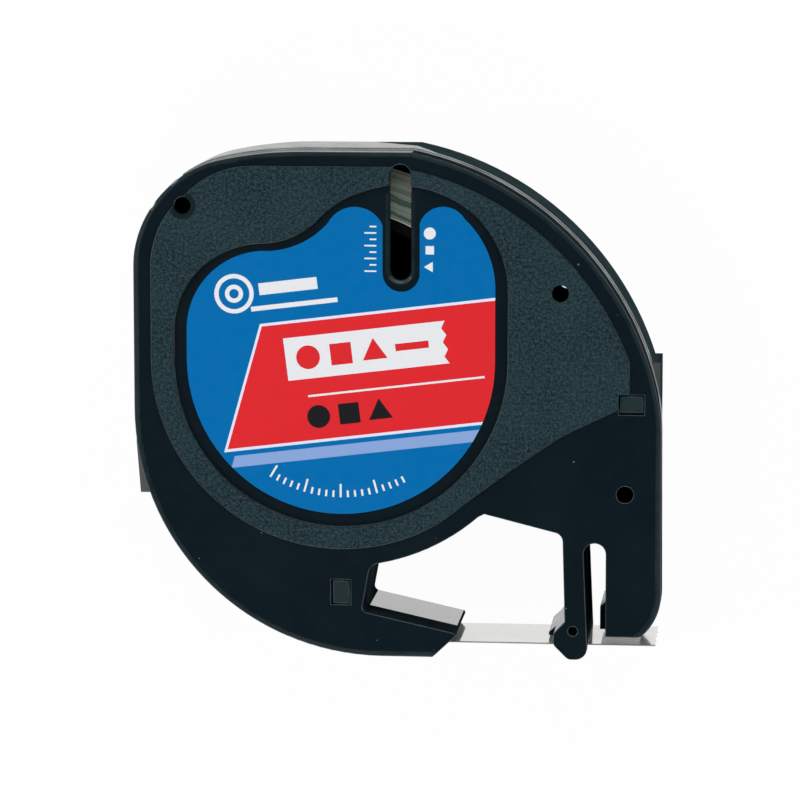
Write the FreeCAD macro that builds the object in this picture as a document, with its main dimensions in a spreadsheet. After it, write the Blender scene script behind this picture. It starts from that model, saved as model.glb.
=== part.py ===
import FreeCAD, Part
import math
import os
import Sketcher

# A label tape cassette, lying on its rear face with its printed label up.
#
# Two moulded shells meet at a parting plane and hold a roll of 12 mm label tape on a core.
# The tape leaves the roll at its lower left, turns round a guide roller, leaves the nose of
# an arm, crosses the open print window and passes under a finger.
#
# Frame, in millimetres: +X to the right and +Y up the label, +Z out of the label face.
# The origin is under the middle of the casing, on the rear face.

SIZES = {
    # the casing seen from the label side
    "casing_width": 67.2,
    "casing_height": 64.2,
    "casing_thickness": 16.0,
    "wall": 1.2,
    "plate": 1.2,
    "rear_shell_depth": 10.5,
    "edge_round": 0.9,
    "belly_radius": 31.33,
    "shoulder_radius": 14.05,
    "shoulder_drop": 0.8,
    "shoulder_turn": 100.0,
    "shoulder_run": 7.5,
    "crown_radius": 39.95,
    "crown_top_cut": 0.8,
    "crown_side_cut": 0.5,
    "crown_turn": 14.6,
    "heel_radius": 7.0,
    "heel_height": 8.45,
    "nick_radius": 0.9,
    "nick_depth": 0.3,
    "rear_panel_radius": 20.5,
    "rear_panel_inner": 7.5,
    "rear_panel_depth": 0.3,
    "ejector_radius": 1.5,
    "ejector_depth": 0.15,
    # pads on the sides of the rear shell
    "side_pad": 0.5,
    "rear_side_inset": 0.5,
    "left_pad_foot": 19.85,
    "left_pad_taper": 6.5,
    "left_pad_height": 18.7,
    "right_pad_foot": 20.15,
    "right_pad_height": 17.2,
    # block, cutter slot and finger at the lower right
    "block_clearance": 3.15,
    "block_width": 6.95,
    "cutter_slot": 2.8,
    "cutter_slot_height": 13.65,
    "finger_clearance": 0.15,
    "finger_root": 2.65,
    "finger_lean": 0.6,
    "finger_tip_width": 4.35,
    "finger_tip_round": 1.5,
    "finger_chin": 1.85,
    "finger_hook_top": 3.35,
    "finger_hook_rise": 1.5,
    "rear_hook_reach": 0.85,
    "block_lip": 0.9,
    "block_lip_height": 2.9,
    "gate_roof": 2.25,
    "gate_wall": 1.7,
    # print window and arm
    "window_corner": 1.2,
    "window_notch_angle": -48.6,
    "window_roof_right": 16.1,
    "window_roof_angle": -46.83,
    "window_roof_step": 0.23,
    "window_setback": 28.9,
    "window_lean": 1.1,
    "arm_top_left": 5.65,
    "arm_top_right": 3.15,
    "nose_reach": 12.25,
    "nose_undercut": 3.35,
    "nose_round": 0.3,
    # raised grainy field and sunk label seat
    "field_rise": 0.3,
    "field_margin": 2.4,
    "field_top_margin": 2.12,
    "field_turn": 127.0,
    "field_radius": 24.0,
    "label_seat_depth": 0.5,
    "label_seat_radius": 21.1,
    "label_radius": 19.45,
    "label_thickness": 0.1,
    "seat_lobe_height": 22.15,
    "label_lobe_height": 19.35,
    "label_notch_margin": 1.0,
    "label_notch_drop": 0.4,
    "label_drop": 0.15,
    # window that shows how much tape is left
    "gauge_width": 2.67,
    "gauge_length": 14.55,
    "gauge_offset": 7.55,
    "gauge_top": 1.71,
    "gauge_bevel_depth": 0.3,
    "gauge_bevel_angle": 58.0,
    # tape, core and roll
    "tape_width": 12.0,
    "film_thickness": 0.09,
    "liner_thickness": 0.09,
    "liner_split": 0.06,
    "roll_radius": 24.8,
    "roll_gap": 0.3,
    "core_radius": 18.7,
    "core_rim": 1.3,
    "core_web": 1.6,
    "core_hub_radius": 5.2,
    "core_window_radius": 3.6,
    "core_windows": 5,
    "hub_radius": 3.0,
    "hub_socket_radius": 1.5,
    "running_gap": 0.05,
    "washer_radius": 6.4,
    "washer_thickness": 0.3,
    "end_play": 0.15,
    # tape path from the roll to the nose
    "tape_height": 1.85,
    "wrap_gap": 0.03,
    "guide_radius": 1.9,
    "guide_wall_gap": 0.4,
    "guide_setback": 4.655,
    "guide_post_radius": 1.0,
    "strip_setback": 0.65,
    "strip_gap": 0.02,
    "strip_end_gap": 0.65,
    "level_bend": 5.0,
    "pad_length": 3.4,
    "pad_setback": 6.3,
    "tape_gap": 0.05,
    # brake leaf on the right of the roll
    "leaf_thickness": 0.3,
    "leaf_width": 9.0,
    "leaf_half_length": 8.0,
    "leaf_bow": 1.0,
    "leaf_post_radius": 0.6,
    "leaf_angle": -15.0,
    # what holds the shells together
    "peg_radius": 1.0,
    "boss_radius": 2.1,
    "peg_recess": 1.0,
    "tip_peg_radius": 0.55,
    "post_gap": 0.4,
    "snap_short": 1.4,
    "snap_long": 2.9,
    "snap_barb": 0.5,
    "snap_head": 0.6,
    "snap_gap": 0.15,
    "snap_play": 0.05,
}

doc = FreeCAD.newDocument("tape_cassette")
sheet = doc.addObject("Spreadsheet::Sheet", "Sizes")
for row, (name, value) in enumerate(SIZES.items(), start=1):
    sheet.set(f"A{row}", name)
    sheet.set(f"B{row}", str(value))
    sheet.setAlias(f"B{row}", name)
doc.recompute()


def size(name):
    """A driving size, read from the sheet."""
    return float(sheet.get(name))


# ---- places that follow from the driving sizes ----
WALL = size("wall")
RIGHT = size("casing_width") / 2
LEFT = size("side_pad") - RIGHT
TOP = size("casing_height") / 2
FOOT = -TOP
FINGER_FOOT = FOOT + size("finger_clearance")
FACE = size("casing_thickness") - size("field_rise")
PARTING = size("rear_shell_depth")
CEILING = FACE - size("plate")
REAR_RIGHT = RIGHT - size("rear_side_inset")

ROLL = (
    LEFT + WALL + size("roll_gap") + size("roll_radius"),
    TOP - WALL - size("roll_gap") - size("roll_radius"),
)
BELLY = (LEFT + size("belly_radius"), FOOT + size("belly_radius"))
SHOULDER = (
    LEFT + size("shoulder_radius"),
    TOP - size("shoulder_drop") - size("shoulder_radius"),
)
CROWN = (
    RIGHT + size("crown_side_cut") - size("crown_radius"),
    TOP + size("crown_top_cut") - size("crown_radius"),
)
HEEL = (RIGHT - size("heel_radius"), FOOT + size("heel_height"))
BLOCK_LEFT = RIGHT - size("block_width")
BLOCK_FOOT = FOOT + size("block_clearance")
SLOT_RADIUS = size("cutter_slot") / 2
SLOT_TOP = (BLOCK_LEFT - SLOT_RADIUS, FOOT + size("cutter_slot_height"))
FINGER_RIGHT = BLOCK_LEFT - size("cutter_slot")
FINGER_LEFT = FINGER_RIGHT - size("finger_root")
TIP_RIGHT = FINGER_RIGHT + size("finger_lean")
HOOK_LEFT = TIP_RIGHT - size("finger_tip_width")
CHAMBER_RADIUS = size("roll_radius") + size("roll_gap")
WINDOW_LEFT = LEFT + size("window_setback")
NOSE = (WINDOW_LEFT + size("nose_reach"), FOOT + size("arm_top_right"))
GAUGE_X = ROLL[0] + size("gauge_offset")
TAPE_TOP = FOOT + size("tape_height") + size("film_thickness")
TAPE_BOTTOM = TAPE_TOP - size("film_thickness") - size("liner_thickness")
TAPE_REAR = (size("casing_thickness") - size("tape_width")) / 2

LABEL_MIDDLE = (ROLL[0], ROLL[1] - size("label_drop"))
SEAT_LEVEL = size("casing_thickness") - size("label_seat_depth")
PAST = 1.0  # how far a cut runs past what it cuts

# pegs, bores, hooks and marks, measured from the casing's sides
PEG = (LEFT + 6.45, TOP - 7.05)
BAY_BORES = [(RIGHT - 12.8, TOP - 17.65), (RIGHT - 4.6, FOOT + 21.3)]
TIP_PEG = (TIP_RIGHT - 1.9, FOOT + 3.8)
SNAP_LEFT = (WINDOW_LEFT - 2.2, FOOT + 8.3)
SNAP_RIGHT = (RIGHT - 3.85, FOOT + 33.05)
NICK_TURNS = (146, 129)
EJECTOR_MARKS = [
    (LEFT + 6.6, TOP - 14.1),
    (RIGHT - 19.6, TOP - 10.1),
    (RIGHT - 9.1, FOOT + 26.1),
    (LEFT + 19.1, FOOT + 7.1),
]
# the field's lower right edge, from the casing's lower right corner
FIELD_EDGE = [(-4.2, 34.15), (-5.6, 32.05), (-12.7, 28.55), (-18.6, 24.45)]
FIELD_RING = (-58, -118, -150)  # degrees round the roll where the field's lower edge changes


def polar(centre, radius, degrees):
    """The point at a distance and an angle from +X about a centre."""
    angle = math.radians(degrees)
    return (centre[0] + radius * math.cos(angle), centre[1] + radius * math.sin(angle))


def shifted(point, along_x, along_y):
    return (point[0] + along_x, point[1] + along_y)


def across(radius, offset):
    """Half the chord of a circle at a distance from its centre."""
    return math.sqrt(radius**2 - offset**2)


class Outline:
    """A closed flat outline of straight and round stretches."""

    def __init__(self, start):
        self.first = start
        self.at = start
        self.edges = []

    def line(self, *points):
        for point in points:
            self.edges.append(Part.LineSegment(flat(self.at), flat(point)))
            self.at = point
        return self

    def arc(self, middle, end):
        """A round stretch through a middle point."""
        self.edges.append(Part.Arc(flat(self.at), flat(middle), flat(end)))
        self.at = end
        return self

    def about(self, centre, end):
        """A round stretch about a centre, the short way round, to an end that lies on it."""
        radius = math.dist(self.at, centre)
        lean = (self.at[0] + end[0] - 2 * centre[0], self.at[1] + end[1] - 2 * centre[1])
        scale = radius / math.hypot(*lean)
        return self.arc((centre[0] + lean[0] * scale, centre[1] + lean[1] * scale), end)

    def corner(self, point, radius, after):
        """A straight stretch towards a corner, and a round that leaves it towards the next point."""
        back = unit(point, self.at)
        on = unit(point, after)
        half = math.acos(back[0] * on[0] + back[1] * on[1]) / 2
        reach = radius / math.tan(half)
        start = shifted(point, back[0] * reach, back[1] * reach)
        end = shifted(point, on[0] * reach, on[1] * reach)
        middle = unit((0, 0), (back[0] + on[0], back[1] + on[1]))
        depth = radius / math.sin(half) - radius
        return self.line(start).arc(shifted(point, middle[0] * depth, middle[1] * depth), end)

    def settle(self, end):
        """A wide round that runs level where it ends."""
        run = end[0] - self.at[0]
        rise = end[1] - self.at[1]
        radius = (run**2 + rise**2) / (2 * rise)
        return self.arc(shifted(end, -run / 2, across(radius, run / 2) - radius), end)

    def close(self):
        return self.line(self.first)


def flat(point):
    return FreeCAD.Vector(point[0], point[1], 0)


def unit(start, end):
    length = math.dist(start, end)
    return ((end[0] - start[0]) / length, (end[1] - start[1]) / length)


def window_roof():
    """Where the window's straight roof meets the wall round the roll."""
    return polar(ROLL, CHAMBER_RADIUS + WALL + size("window_roof_step"), size("window_roof_angle"))


# ---- outlines ----
def casing_outline(right):
    """The outer outline of a shell, whose right side may stand further in."""
    outline = Outline((NOSE[0] - size("nose_undercut"), FOOT))
    outline.line((BELLY[0], FOOT))
    outline.about(BELLY, (LEFT, BELLY[1]))
    outline.line((LEFT, SHOULDER[1]))
    outline.about(SHOULDER, polar(SHOULDER, size("shoulder_radius"), size("shoulder_turn")))
    outline.settle((SHOULDER[0] + size("shoulder_run"), TOP))
    outline.line((CROWN[0] + across(size("crown_radius"), TOP - CROWN[1]), TOP))
    crown_side(outline, size("crown_radius"), right)
    heel = size("heel_radius")
    inset = RIGHT - right
    outline.line((right, HEEL[1]))
    heel_end = HEEL[0] - inset + across(heel, HEEL[1] - BLOCK_FOOT)
    outline.about(shifted(HEEL, -inset, 0), (heel_end, BLOCK_FOOT))
    outline.line((BLOCK_LEFT, BLOCK_FOOT), (BLOCK_LEFT, SLOT_TOP[1]))
    outline.arc(shifted(SLOT_TOP, 0, SLOT_RADIUS), (FINGER_RIGHT, SLOT_TOP[1]))
    finger_outline(outline)
    window_outline(outline)
    return outline.close()


def crown_side(outline, radius, right):
    """The crown's round, and the tighter round that carries it into the right side."""
    turn = size("crown_turn")
    end = polar(CROWN, radius, turn)
    tight = (right - end[0]) / (1 - math.cos(math.radians(turn)))
    centre = (right - tight, end[1] - tight * math.sin(math.radians(turn)))
    outline.about(CROWN, end)
    outline.about(centre, (right, centre[1]))


def finger_outline(outline):
    """The finger's right side, its hooked tip, and its left side up to the window's roof."""
    tip_corner = (TIP_RIGHT, FINGER_FOOT)
    chin = (TIP_RIGHT - 2.5, FINGER_FOOT)
    throat = (HOOK_LEFT, FINGER_FOOT + size("finger_chin"))
    hook = (HOOK_LEFT, FINGER_FOOT + size("finger_hook_top"))
    rise = size("finger_hook_rise")
    neck = shifted(hook, rise * 0.95, rise)
    roof_corner = (FINGER_LEFT, FOOT + size("window_roof_right"))
    roof_end = window_roof()
    outline.corner(tip_corner, size("finger_tip_round"), chin)
    outline.corner(chin, 1.0, throat)
    outline.corner(throat, 0.9, hook)
    outline.corner(hook, 0.9, neck)
    outline.line(neck)
    outline.corner(roof_corner, size("window_corner"), roof_end)


def window_outline(outline):
    """The window's roof, which follows the roll, its left side, and the arm down to the nose."""
    shell_radius = CHAMBER_RADIUS + WALL
    notch = polar(ROLL, shell_radius, size("window_notch_angle"))
    window_foot = (WINDOW_LEFT, FOOT + size("arm_top_left") + 0.2)
    roof_x = WINDOW_LEFT + size("window_lean")
    roof_corner = (roof_x, ROLL[1] - across(shell_radius, roof_x - ROLL[0]))
    corner = size("window_corner")
    start_x = roof_corner[0] + corner
    roof_start = (start_x, ROLL[1] - across(shell_radius, start_x - ROLL[0]))
    down = unit(roof_corner, window_foot)
    below = shifted(roof_corner, down[0] * corner, down[1] * corner)
    soft = shifted(roof_corner, corner * 0.2, -corner * 0.2)
    outline.line(window_roof(), notch)
    outline.about(ROLL, roof_start)
    outline.arc(soft, below)
    outline.corner(window_foot, 0.7, NOSE)
    outline.corner(NOSE, size("nose_round"), outline.first)


def cavity_outline():
    """The hollow between the plates: the roll's chamber, the block's hollow and the arm's channel."""
    crown = size("crown_radius") - WALL
    chamber = CHAMBER_RADIUS
    mouth = NOSE[0] + 1.0
    outline = Outline((mouth, FOOT + WALL))
    outline.line((BELLY[0], FOOT + WALL))
    outline.about(BELLY, (LEFT + WALL, BELLY[1]))
    outline.line((LEFT + WALL, SHOULDER[1]))
    outline.about(SHOULDER, polar(SHOULDER, size("shoulder_radius") - WALL, size("shoulder_turn")))
    outline.settle((SHOULDER[0] + size("shoulder_run"), TOP - WALL))
    outline.line((CROWN[0] + across(crown, TOP - WALL - CROWN[1]), TOP - WALL))
    inner_right = REAR_RIGHT - WALL
    crown_side(outline, crown, inner_right)
    heel_foot = BLOCK_FOOT + WALL
    heel_inset = RIGHT - REAR_RIGHT
    heel_end = HEEL[0] - heel_inset + across(size("heel_radius") - WALL, HEEL[1] - heel_foot)
    outline.line((inner_right, HEEL[1]))
    outline.about(shifted(HEEL, -heel_inset, 0), (heel_end, heel_foot))
    outline.line((BLOCK_LEFT + WALL, heel_foot), (BLOCK_LEFT + WALL, SLOT_TOP[1]))
    outline.about(SLOT_TOP, shifted(SLOT_TOP, 0, SLOT_RADIUS + WALL))
    roof_right = (FINGER_LEFT + WALL, FOOT + size("window_roof_right") + WALL)
    roof_left = shifted(window_roof(), 0.25, WALL)
    outline.line(roof_right, roof_left, polar(ROLL, chamber, size("window_notch_angle")))
    side = WINDOW_LEFT + size("window_lean") - WALL * 1.3
    outline.about(ROLL, (side, ROLL[1] - across(chamber, side - ROLL[0])))
    elbow = (WINDOW_LEFT - WALL, FOOT + size("arm_top_left") + 0.4)
    arm_roof = (WINDOW_LEFT - WALL * 0.7, FOOT + size("arm_top_left") - WALL * 0.8)
    mouth_roof = (mouth, TAPE_TOP + 0.2)
    outline.line(elbow, arm_roof, mouth_roof)
    return outline.close()


def field_outline():
    """The grainy field: inside the casing's edge at the top and right, round the roll at the bottom."""
    margin = size("field_margin")
    radius = size("field_radius")
    crown = size("crown_radius") - margin
    left = LEFT + margin
    top = TOP - size("field_top_margin")
    right_foot, corner, slope, bow = [(RIGHT + x, FOOT + y) for x, y in FIELD_EDGE]
    right_turn, left_turn, side_turn = FIELD_RING
    outline = Outline((left, ROLL[1] + 1.0))
    outline.line((left, SHOULDER[1]))
    outline.about(SHOULDER, polar(SHOULDER, size("shoulder_radius") - margin, size("field_turn")))
    outline.settle((SHOULDER[0] + 1.05, top))
    outline.line((CROWN[0] + across(crown, top - CROWN[1]), top))
    outline.about(CROWN, (right_foot[0], CROWN[1] + across(crown, right_foot[0] - CROWN[0])))
    outline.line(right_foot, corner, slope)
    outline.arc(bow, polar(ROLL, radius, right_turn))
    outline.about(ROLL, polar(ROLL, radius, left_turn))
    outline.arc(polar(ROLL, radius, side_turn), outline.first)
    return outline


def label_outline(radius, lobe_height, notched):
    """A round label with straight sides, a soft left shoulder and a high lobe, or two beside a notch."""
    centre = LABEL_MIDDLE
    left = centre[0] - radius
    right = centre[0] + radius
    grow = radius - size("label_radius")
    peak = centre[1] + lobe_height
    outline = Outline((left, centre[1]))
    outline.line((left, centre[1] + 4.2))
    outline.arc(shifted(centre, -16.9 - grow * 0.8, 10.4 + grow * 0.3),
                shifted(centre, -10.0, 13.75 + grow * 0.6))
    outline.arc(shifted(centre, -4.7 - grow * 0.6, 14.9 + grow * 0.5), shifted(centre, -1.5 - grow, 17.4))
    if notched:
        half = size("gauge_width") / 2 + size("label_notch_margin")
        notch_x = GAUGE_X + 0.1
        notch_y = TOP - size("gauge_top") - size("gauge_length") + size("gauge_width") / 2
        notch_y -= size("label_notch_drop")
        outline.arc((notch_x - half - 2.9, peak), (notch_x - half, peak - 2.2))
        outline.line((notch_x - half, notch_y))
        outline.arc((notch_x, notch_y - half), (notch_x + half, notch_y))
        outline.line((notch_x + half, peak - 2.0))
        outline.arc((notch_x + half + 2.0, peak), shifted(centre, 15.6, 18.0))
    else:
        outline.arc((GAUGE_X, peak), shifted(centre, 17.2, 18.2))
    outline.arc(shifted(centre, 18.25 + grow * 0.8, 14.4 + grow * 0.3), (right, centre[1] + 9.5))
    outline.line((right, centre[1]))
    outline.arc((centre[0], centre[1] - radius), outline.first)
    return outline


# ---- ways to draw ----
def plane_of(body, role):
    for feature in body.Origin.OriginFeatures:
        if feature.Role == role:
            return feature


def new_sketch(body, name, level):
    """An empty sketch on the body's own flat plane, raised to a level."""
    sketch = body.newObject("Sketcher::SketchObject", name)
    sketch.AttachmentSupport = [(plane_of(body, "XY_Plane"), "")]
    sketch.MapMode = "FlatFace"
    sketch.AttachmentOffset = FreeCAD.Placement(FreeCAD.Vector(0, 0, level), FreeCAD.Rotation())
    return sketch


def outline_sketch(body, name, outline, level):
    sketch = new_sketch(body, name, level)
    for edge in outline.edges:
        sketch.addGeometry(edge)
    return sketch


def circle_sketch(body, name, centres, radius, level):
    """Equal circles, whose radius is bound to an expression of the sheet's sizes."""
    sketch = new_sketch(body, name, level)
    for centre in centres:
        circle = Part.Circle(flat(centre), FreeCAD.Vector(0, 0, 1), 1)
        index = sketch.addGeometry(circle)
        sketch.addConstraint(Sketcher.Constraint("DistanceX", -1, 1, index, 3, centre[0]))
        sketch.addConstraint(Sketcher.Constraint("DistanceY", -1, 1, index, 3, centre[1]))
        bound = sketch.addConstraint(Sketcher.Constraint("Radius", index, 1))
        sketch.setExpression(f"Constraints[{bound}]", radius)
    return sketch


def rectangle(low, high):
    return Outline(low).line((high[0], low[1]), high, (low[0], high[1])).close()


def pad(body, name, sketch, length):
    """Material from the sketch upwards, as long as the expression says."""
    feature = body.newObject("PartDesign::Pad", name)
    feature.Profile = sketch
    feature.setExpression("Length", length)
    doc.recompute()
    return feature


def pocket(body, name, sketch, length, taper=None):
    """A cut from the sketch upwards, as deep as the expression says, whose sides may lean out."""
    before = body.Shape.Volume
    feature = body.newObject("PartDesign::Pocket", name)
    feature.Profile = sketch
    feature.Reversed = True
    feature.setExpression("Length", length)
    if taper:
        feature.setExpression("TaperAngle", taper)
    doc.recompute()
    if not body.Shape.Volume < before:
        raise RuntimeError(f"{name} cuts nothing")
    return feature


def round_edges(body, name, radius, wanted):
    """A round along the edges of the body that a test picks."""
    base = body.Tip
    names = [f"Edge{i}" for i, edge in enumerate(base.Shape.Edges, start=1) if wanted(edge)]
    feature = body.newObject("PartDesign::Fillet", name)
    feature.Base = (base, names)
    feature.setExpression("Radius", radius)
    doc.recompute()
    return feature


def new_body(name):
    body = doc.addObject("PartDesign::Body", name)
    body.Label = name
    return body


def outer_edge(level):
    """Picks the edges at a level that lie on the casing's outer side, away from the window and finger."""
    def wanted(edge):
        box = edge.BoundBox
        if abs(box.ZMin - level) > 0.01 or abs(box.ZMax - level) > 0.01:
            return False
        middle = edge.valueAt((edge.FirstParameter + edge.LastParameter) / 2)
        inside = middle.y < SLOT_TOP[1] + 6 and LEFT + 12 < middle.x < BLOCK_LEFT + 0.1
        on_foot = abs(middle.y - FOOT) < 0.01 and middle.x < NOSE[0]
        on_belly = abs(math.dist((middle.x, middle.y), BELLY) - size("belly_radius")) < 0.01
        on_block_foot = abs(middle.y - BLOCK_FOOT) < 0.01
        return on_foot or on_belly or not (inside or on_block_foot)
    return wanted


# ---- front shell ----
def front_shell():
    body = new_body("front_shell")
    depth = "Sizes.casing_thickness - Sizes.field_rise - Sizes.rear_shell_depth"
    inside = depth + " - Sizes.plate"
    through = f"{depth} + {PAST}"
    pad(body, "FrontBlock", outline_sketch(body, "FrontOutline", casing_outline(RIGHT), PARTING), depth)
    round_edges(body, "FrontRound", "Sizes.edge_round", outer_edge(FACE))
    pocket(body, "FrontHollow", outline_sketch(body, "FrontHollowOutline", cavity_outline(), PARTING), inside)
    pocket(body, "FrontGate", outline_sketch(body, "FrontGateOutline", gate_outline(), PARTING),
           "Sizes.casing_thickness - Sizes.gate_wall - Sizes.rear_shell_depth")
    pad(body, "GrainyField", outline_sketch(body, "FieldOutline", field_outline(), FACE), "Sizes.field_rise")
    seat = label_outline(size("label_seat_radius"), size("seat_lobe_height"), False)
    pocket(body, "LabelSeat", outline_sketch(body, "LabelSeatOutline", seat, SEAT_LEVEL),
           "Sizes.label_seat_depth")
    pad(body, "FrontBosses", circle_sketch(body, "FrontBossCircles", [PEG, *BAY_BORES], "Sizes.boss_radius",
                                           PARTING), inside)
    spigot_level = CEILING - 2 * size("hub_socket_radius")
    pad(body, "HubSpigot", circle_sketch(body, "HubSpigotCircle", [ROLL],
                                         "Sizes.hub_socket_radius - Sizes.running_gap", spigot_level),
        "2 * Sizes.hub_socket_radius")
    pocket(body, "FrontBores", circle_sketch(body, "FrontBoreCircles", [PEG, *BAY_BORES],
                                             "Sizes.peg_radius + Sizes.running_gap", PARTING), through)
    pocket(body, "TipBore", circle_sketch(body, "TipBoreCircle", [TIP_PEG],
                                          "Sizes.tip_peg_radius + Sizes.running_gap", PARTING), through)
    pocket(body, "Gauge", outline_sketch(body, "GaugeOutline", gauge_outline(), CEILING),
           "Sizes.plate + Sizes.field_rise")
    bevel_level = SEAT_LEVEL - size("gauge_bevel_depth")
    pocket(body, "GaugeBevel", outline_sketch(body, "GaugeBevelOutline", bevel_outline(), bevel_level),
           "Sizes.gauge_bevel_depth", "Sizes.gauge_bevel_angle * 1 deg")
    pocket(body, "FrontNicks", nick_sketch(body, "FrontNickCircles", PARTING), through)
    for name, centre, width, length in snaps():
        gap = size("snap_gap")
        low = (centre[0] - width / 2 - gap, centre[1] - length / 2 - gap)
        high = (centre[0] + width / 2 + gap, centre[1] + length / 2 + gap)
        window = rectangle(low, high)
        pocket(body, name + "Window", outline_sketch(body, name + "WindowOutline", window, CEILING),
               "Sizes.plate + Sizes.field_rise")
        barb = size("snap_barb") + 2 * gap
        recess = rectangle(shifted(low, -barb, 0), high) if width < length else rectangle(
            shifted(low, 0, -barb), high)
        level = FACE - size("snap_head")
        pocket(body, name + "Recess", outline_sketch(body, name + "RecessOutline", recess, level),
               "Sizes.snap_head + Sizes.field_rise")
    return body


def snaps():
    """Each snap hook's name, place, width and length. The barb points along its narrow side."""
    short = size("snap_short")
    long = size("snap_long")
    return [("ArmSnap", SNAP_LEFT, short, long), ("SideSnap", SNAP_RIGHT, long, short)]


def gate_outline():
    """The way that the tape takes under the finger, between its two cheeks."""
    low = (HOOK_LEFT - size("rear_hook_reach") - PAST, FOOT - PAST)
    return rectangle(low, (TIP_RIGHT + PAST, FOOT + size("gate_roof")))


def gauge_outline():
    """The slot with round ends that shows the roll's edge."""
    half = size("gauge_width") / 2
    top = TOP - size("gauge_top") - half
    outline, right = gauge_foot()
    outline.line((right, top))
    outline.arc((GAUGE_X, top + half), (outline.first[0], top))
    return outline.close()


def gauge_foot():
    """The slot's lower end, and its right side's place."""
    half = size("gauge_width") / 2
    foot = TOP - size("gauge_top") - size("gauge_length") + half
    outline = Outline((GAUGE_X - half, foot))
    outline.arc((GAUGE_X, foot - half), (GAUGE_X + half, foot))
    return outline, GAUGE_X + half


def bevel_outline():
    """The part of the slot that lies in the label's seat, whose rim is bevelled."""
    top = LABEL_MIDDLE[1] + size("seat_lobe_height") - 1.5
    outline, right = gauge_foot()
    return outline.line((right, top), (outline.first[0], top)).close()


def nick_sketch(body, name, level):
    """Two small nicks in the shoulder."""
    reach = size("shoulder_radius") + size("nick_radius") - size("nick_depth")
    places = [polar(SHOULDER, reach, turn) for turn in NICK_TURNS]
    return circle_sketch(body, name, places, "Sizes.nick_radius", level)


# ---- rear shell ----
def rear_shell():
    body = new_body("rear_shell")
    inside = "Sizes.rear_shell_depth - Sizes.plate"
    pad(body, "RearBlock", outline_sketch(body, "RearOutline", casing_outline(REAR_RIGHT), 0),
        "Sizes.rear_shell_depth")
    round_edges(body, "RearRound", "Sizes.edge_round", outer_edge(0))
    for name, outline in side_pads().items():
        pad(body, name, outline_sketch(body, name + "Outline", outline, size("edge_round")),
            "Sizes.rear_shell_depth - Sizes.edge_round")
    for name, outline in tape_guides().items():
        pad(body, name, outline_sketch(body, name + "Outline", outline, 0), "Sizes.rear_shell_depth")
    pocket(body, "RearHollow", outline_sketch(body, "RearHollowOutline", cavity_outline(), size("plate")),
           inside)
    pocket(body, "RearGate", outline_sketch(body, "RearGateOutline", gate_outline(), size("gate_wall")),
           "Sizes.rear_shell_depth - Sizes.gate_wall")
    root = size("plate") / 2
    pad(body, "RearBosses", circle_sketch(body, "RearBossCircles", [PEG, *BAY_BORES], "Sizes.boss_radius",
                                          root), "Sizes.rear_shell_depth - Sizes.plate / 2")
    pad(body, "Peg", circle_sketch(body, "PegCircle", [PEG], "Sizes.peg_radius", root),
        "Sizes.casing_thickness - Sizes.field_rise - Sizes.peg_recess - Sizes.plate / 2")
    pad(body, "TipPeg", circle_sketch(body, "TipPegCircle", [TIP_PEG], "Sizes.tip_peg_radius", root),
        "Sizes.casing_thickness - Sizes.field_rise - Sizes.peg_recess - Sizes.plate / 2")
    pad(body, "Hub", circle_sketch(body, "HubCircle", [ROLL], "Sizes.hub_radius", root),
        "Sizes.casing_thickness - Sizes.field_rise - Sizes.plate * 1.5 - Sizes.post_gap")
    pad(body, "GuidePost", circle_sketch(body, "GuidePostCircle", [GUIDE], "Sizes.guide_post_radius", root),
        "Sizes.casing_thickness - Sizes.field_rise - Sizes.plate * 1.5 - Sizes.post_gap")
    pad(body, "LeafPosts", circle_sketch(body, "LeafPostCircles", leaf_posts(), "Sizes.leaf_post_radius",
                                         root),
        "(Sizes.casing_thickness + Sizes.leaf_width - Sizes.plate) / 2")
    for name, centre, width, length in snaps():
        stem = rectangle(shifted(centre, -width / 2, -length / 2), shifted(centre, width / 2, length / 2))
        pad(body, name, outline_sketch(body, name + "Stem", stem, root),
            "Sizes.casing_thickness - Sizes.field_rise - Sizes.plate / 2")
        barb = size("snap_barb") + size("snap_gap")
        side = (-barb, 0) if width < length else (0, -barb)
        head = rectangle(shifted(centre, side[0] - width / 2, side[1] - length / 2),
                         shifted(centre, width / 2, length / 2))
        level = FACE - size("snap_head") + size("snap_play")
        pad(body, name + "Barb", outline_sketch(body, name + "BarbOutline", head, level),
            "Sizes.snap_head - Sizes.snap_play")
    pocket(body, "HubBore", circle_sketch(body, "HubBoreCircle", [ROLL], "Sizes.hub_socket_radius",
                                          size("rear_shell_depth")), "Sizes.casing_thickness")
    pocket(body, "RearBores", circle_sketch(body, "RearBoreCircles", BAY_BORES,
                                            "Sizes.peg_radius + Sizes.running_gap", 0),
           "Sizes.casing_thickness")
    panel = circle_sketch(body, "RearPanelCircles", [ROLL], "Sizes.rear_panel_radius", 0)
    add_circle(panel, ROLL, "Sizes.rear_panel_inner")
    pocket(body, "RearPanel", panel, "Sizes.rear_panel_depth")
    pocket(body, "EjectorMarks", circle_sketch(body, "EjectorCircles", EJECTOR_MARKS,
                                               "Sizes.ejector_radius", 0), "Sizes.ejector_depth")
    pocket(body, "RearNicks", nick_sketch(body, "RearNickCircles", 0), "Sizes.rear_shell_depth")
    return body


def side_pads():
    """A pad on each side of the rear shell, that ends in a step."""
    foot = FOOT + size("left_pad_foot")
    top = foot + size("left_pad_height")
    outer = LEFT - size("side_pad")
    inner = LEFT + 4.0
    taper = foot + size("left_pad_taper")
    left = Outline((inner, foot)).line((LEFT, foot), (outer, taper), (outer, top))
    left.line((LEFT + WALL / 2, top), (LEFT + WALL / 2, taper)).close()
    low = FOOT + size("right_pad_foot")
    high = low + size("right_pad_height")
    right = rectangle((REAR_RIGHT - 2.5, low), (REAR_RIGHT, high))
    return {"LeftPad": left, "RightPad": right}


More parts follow.
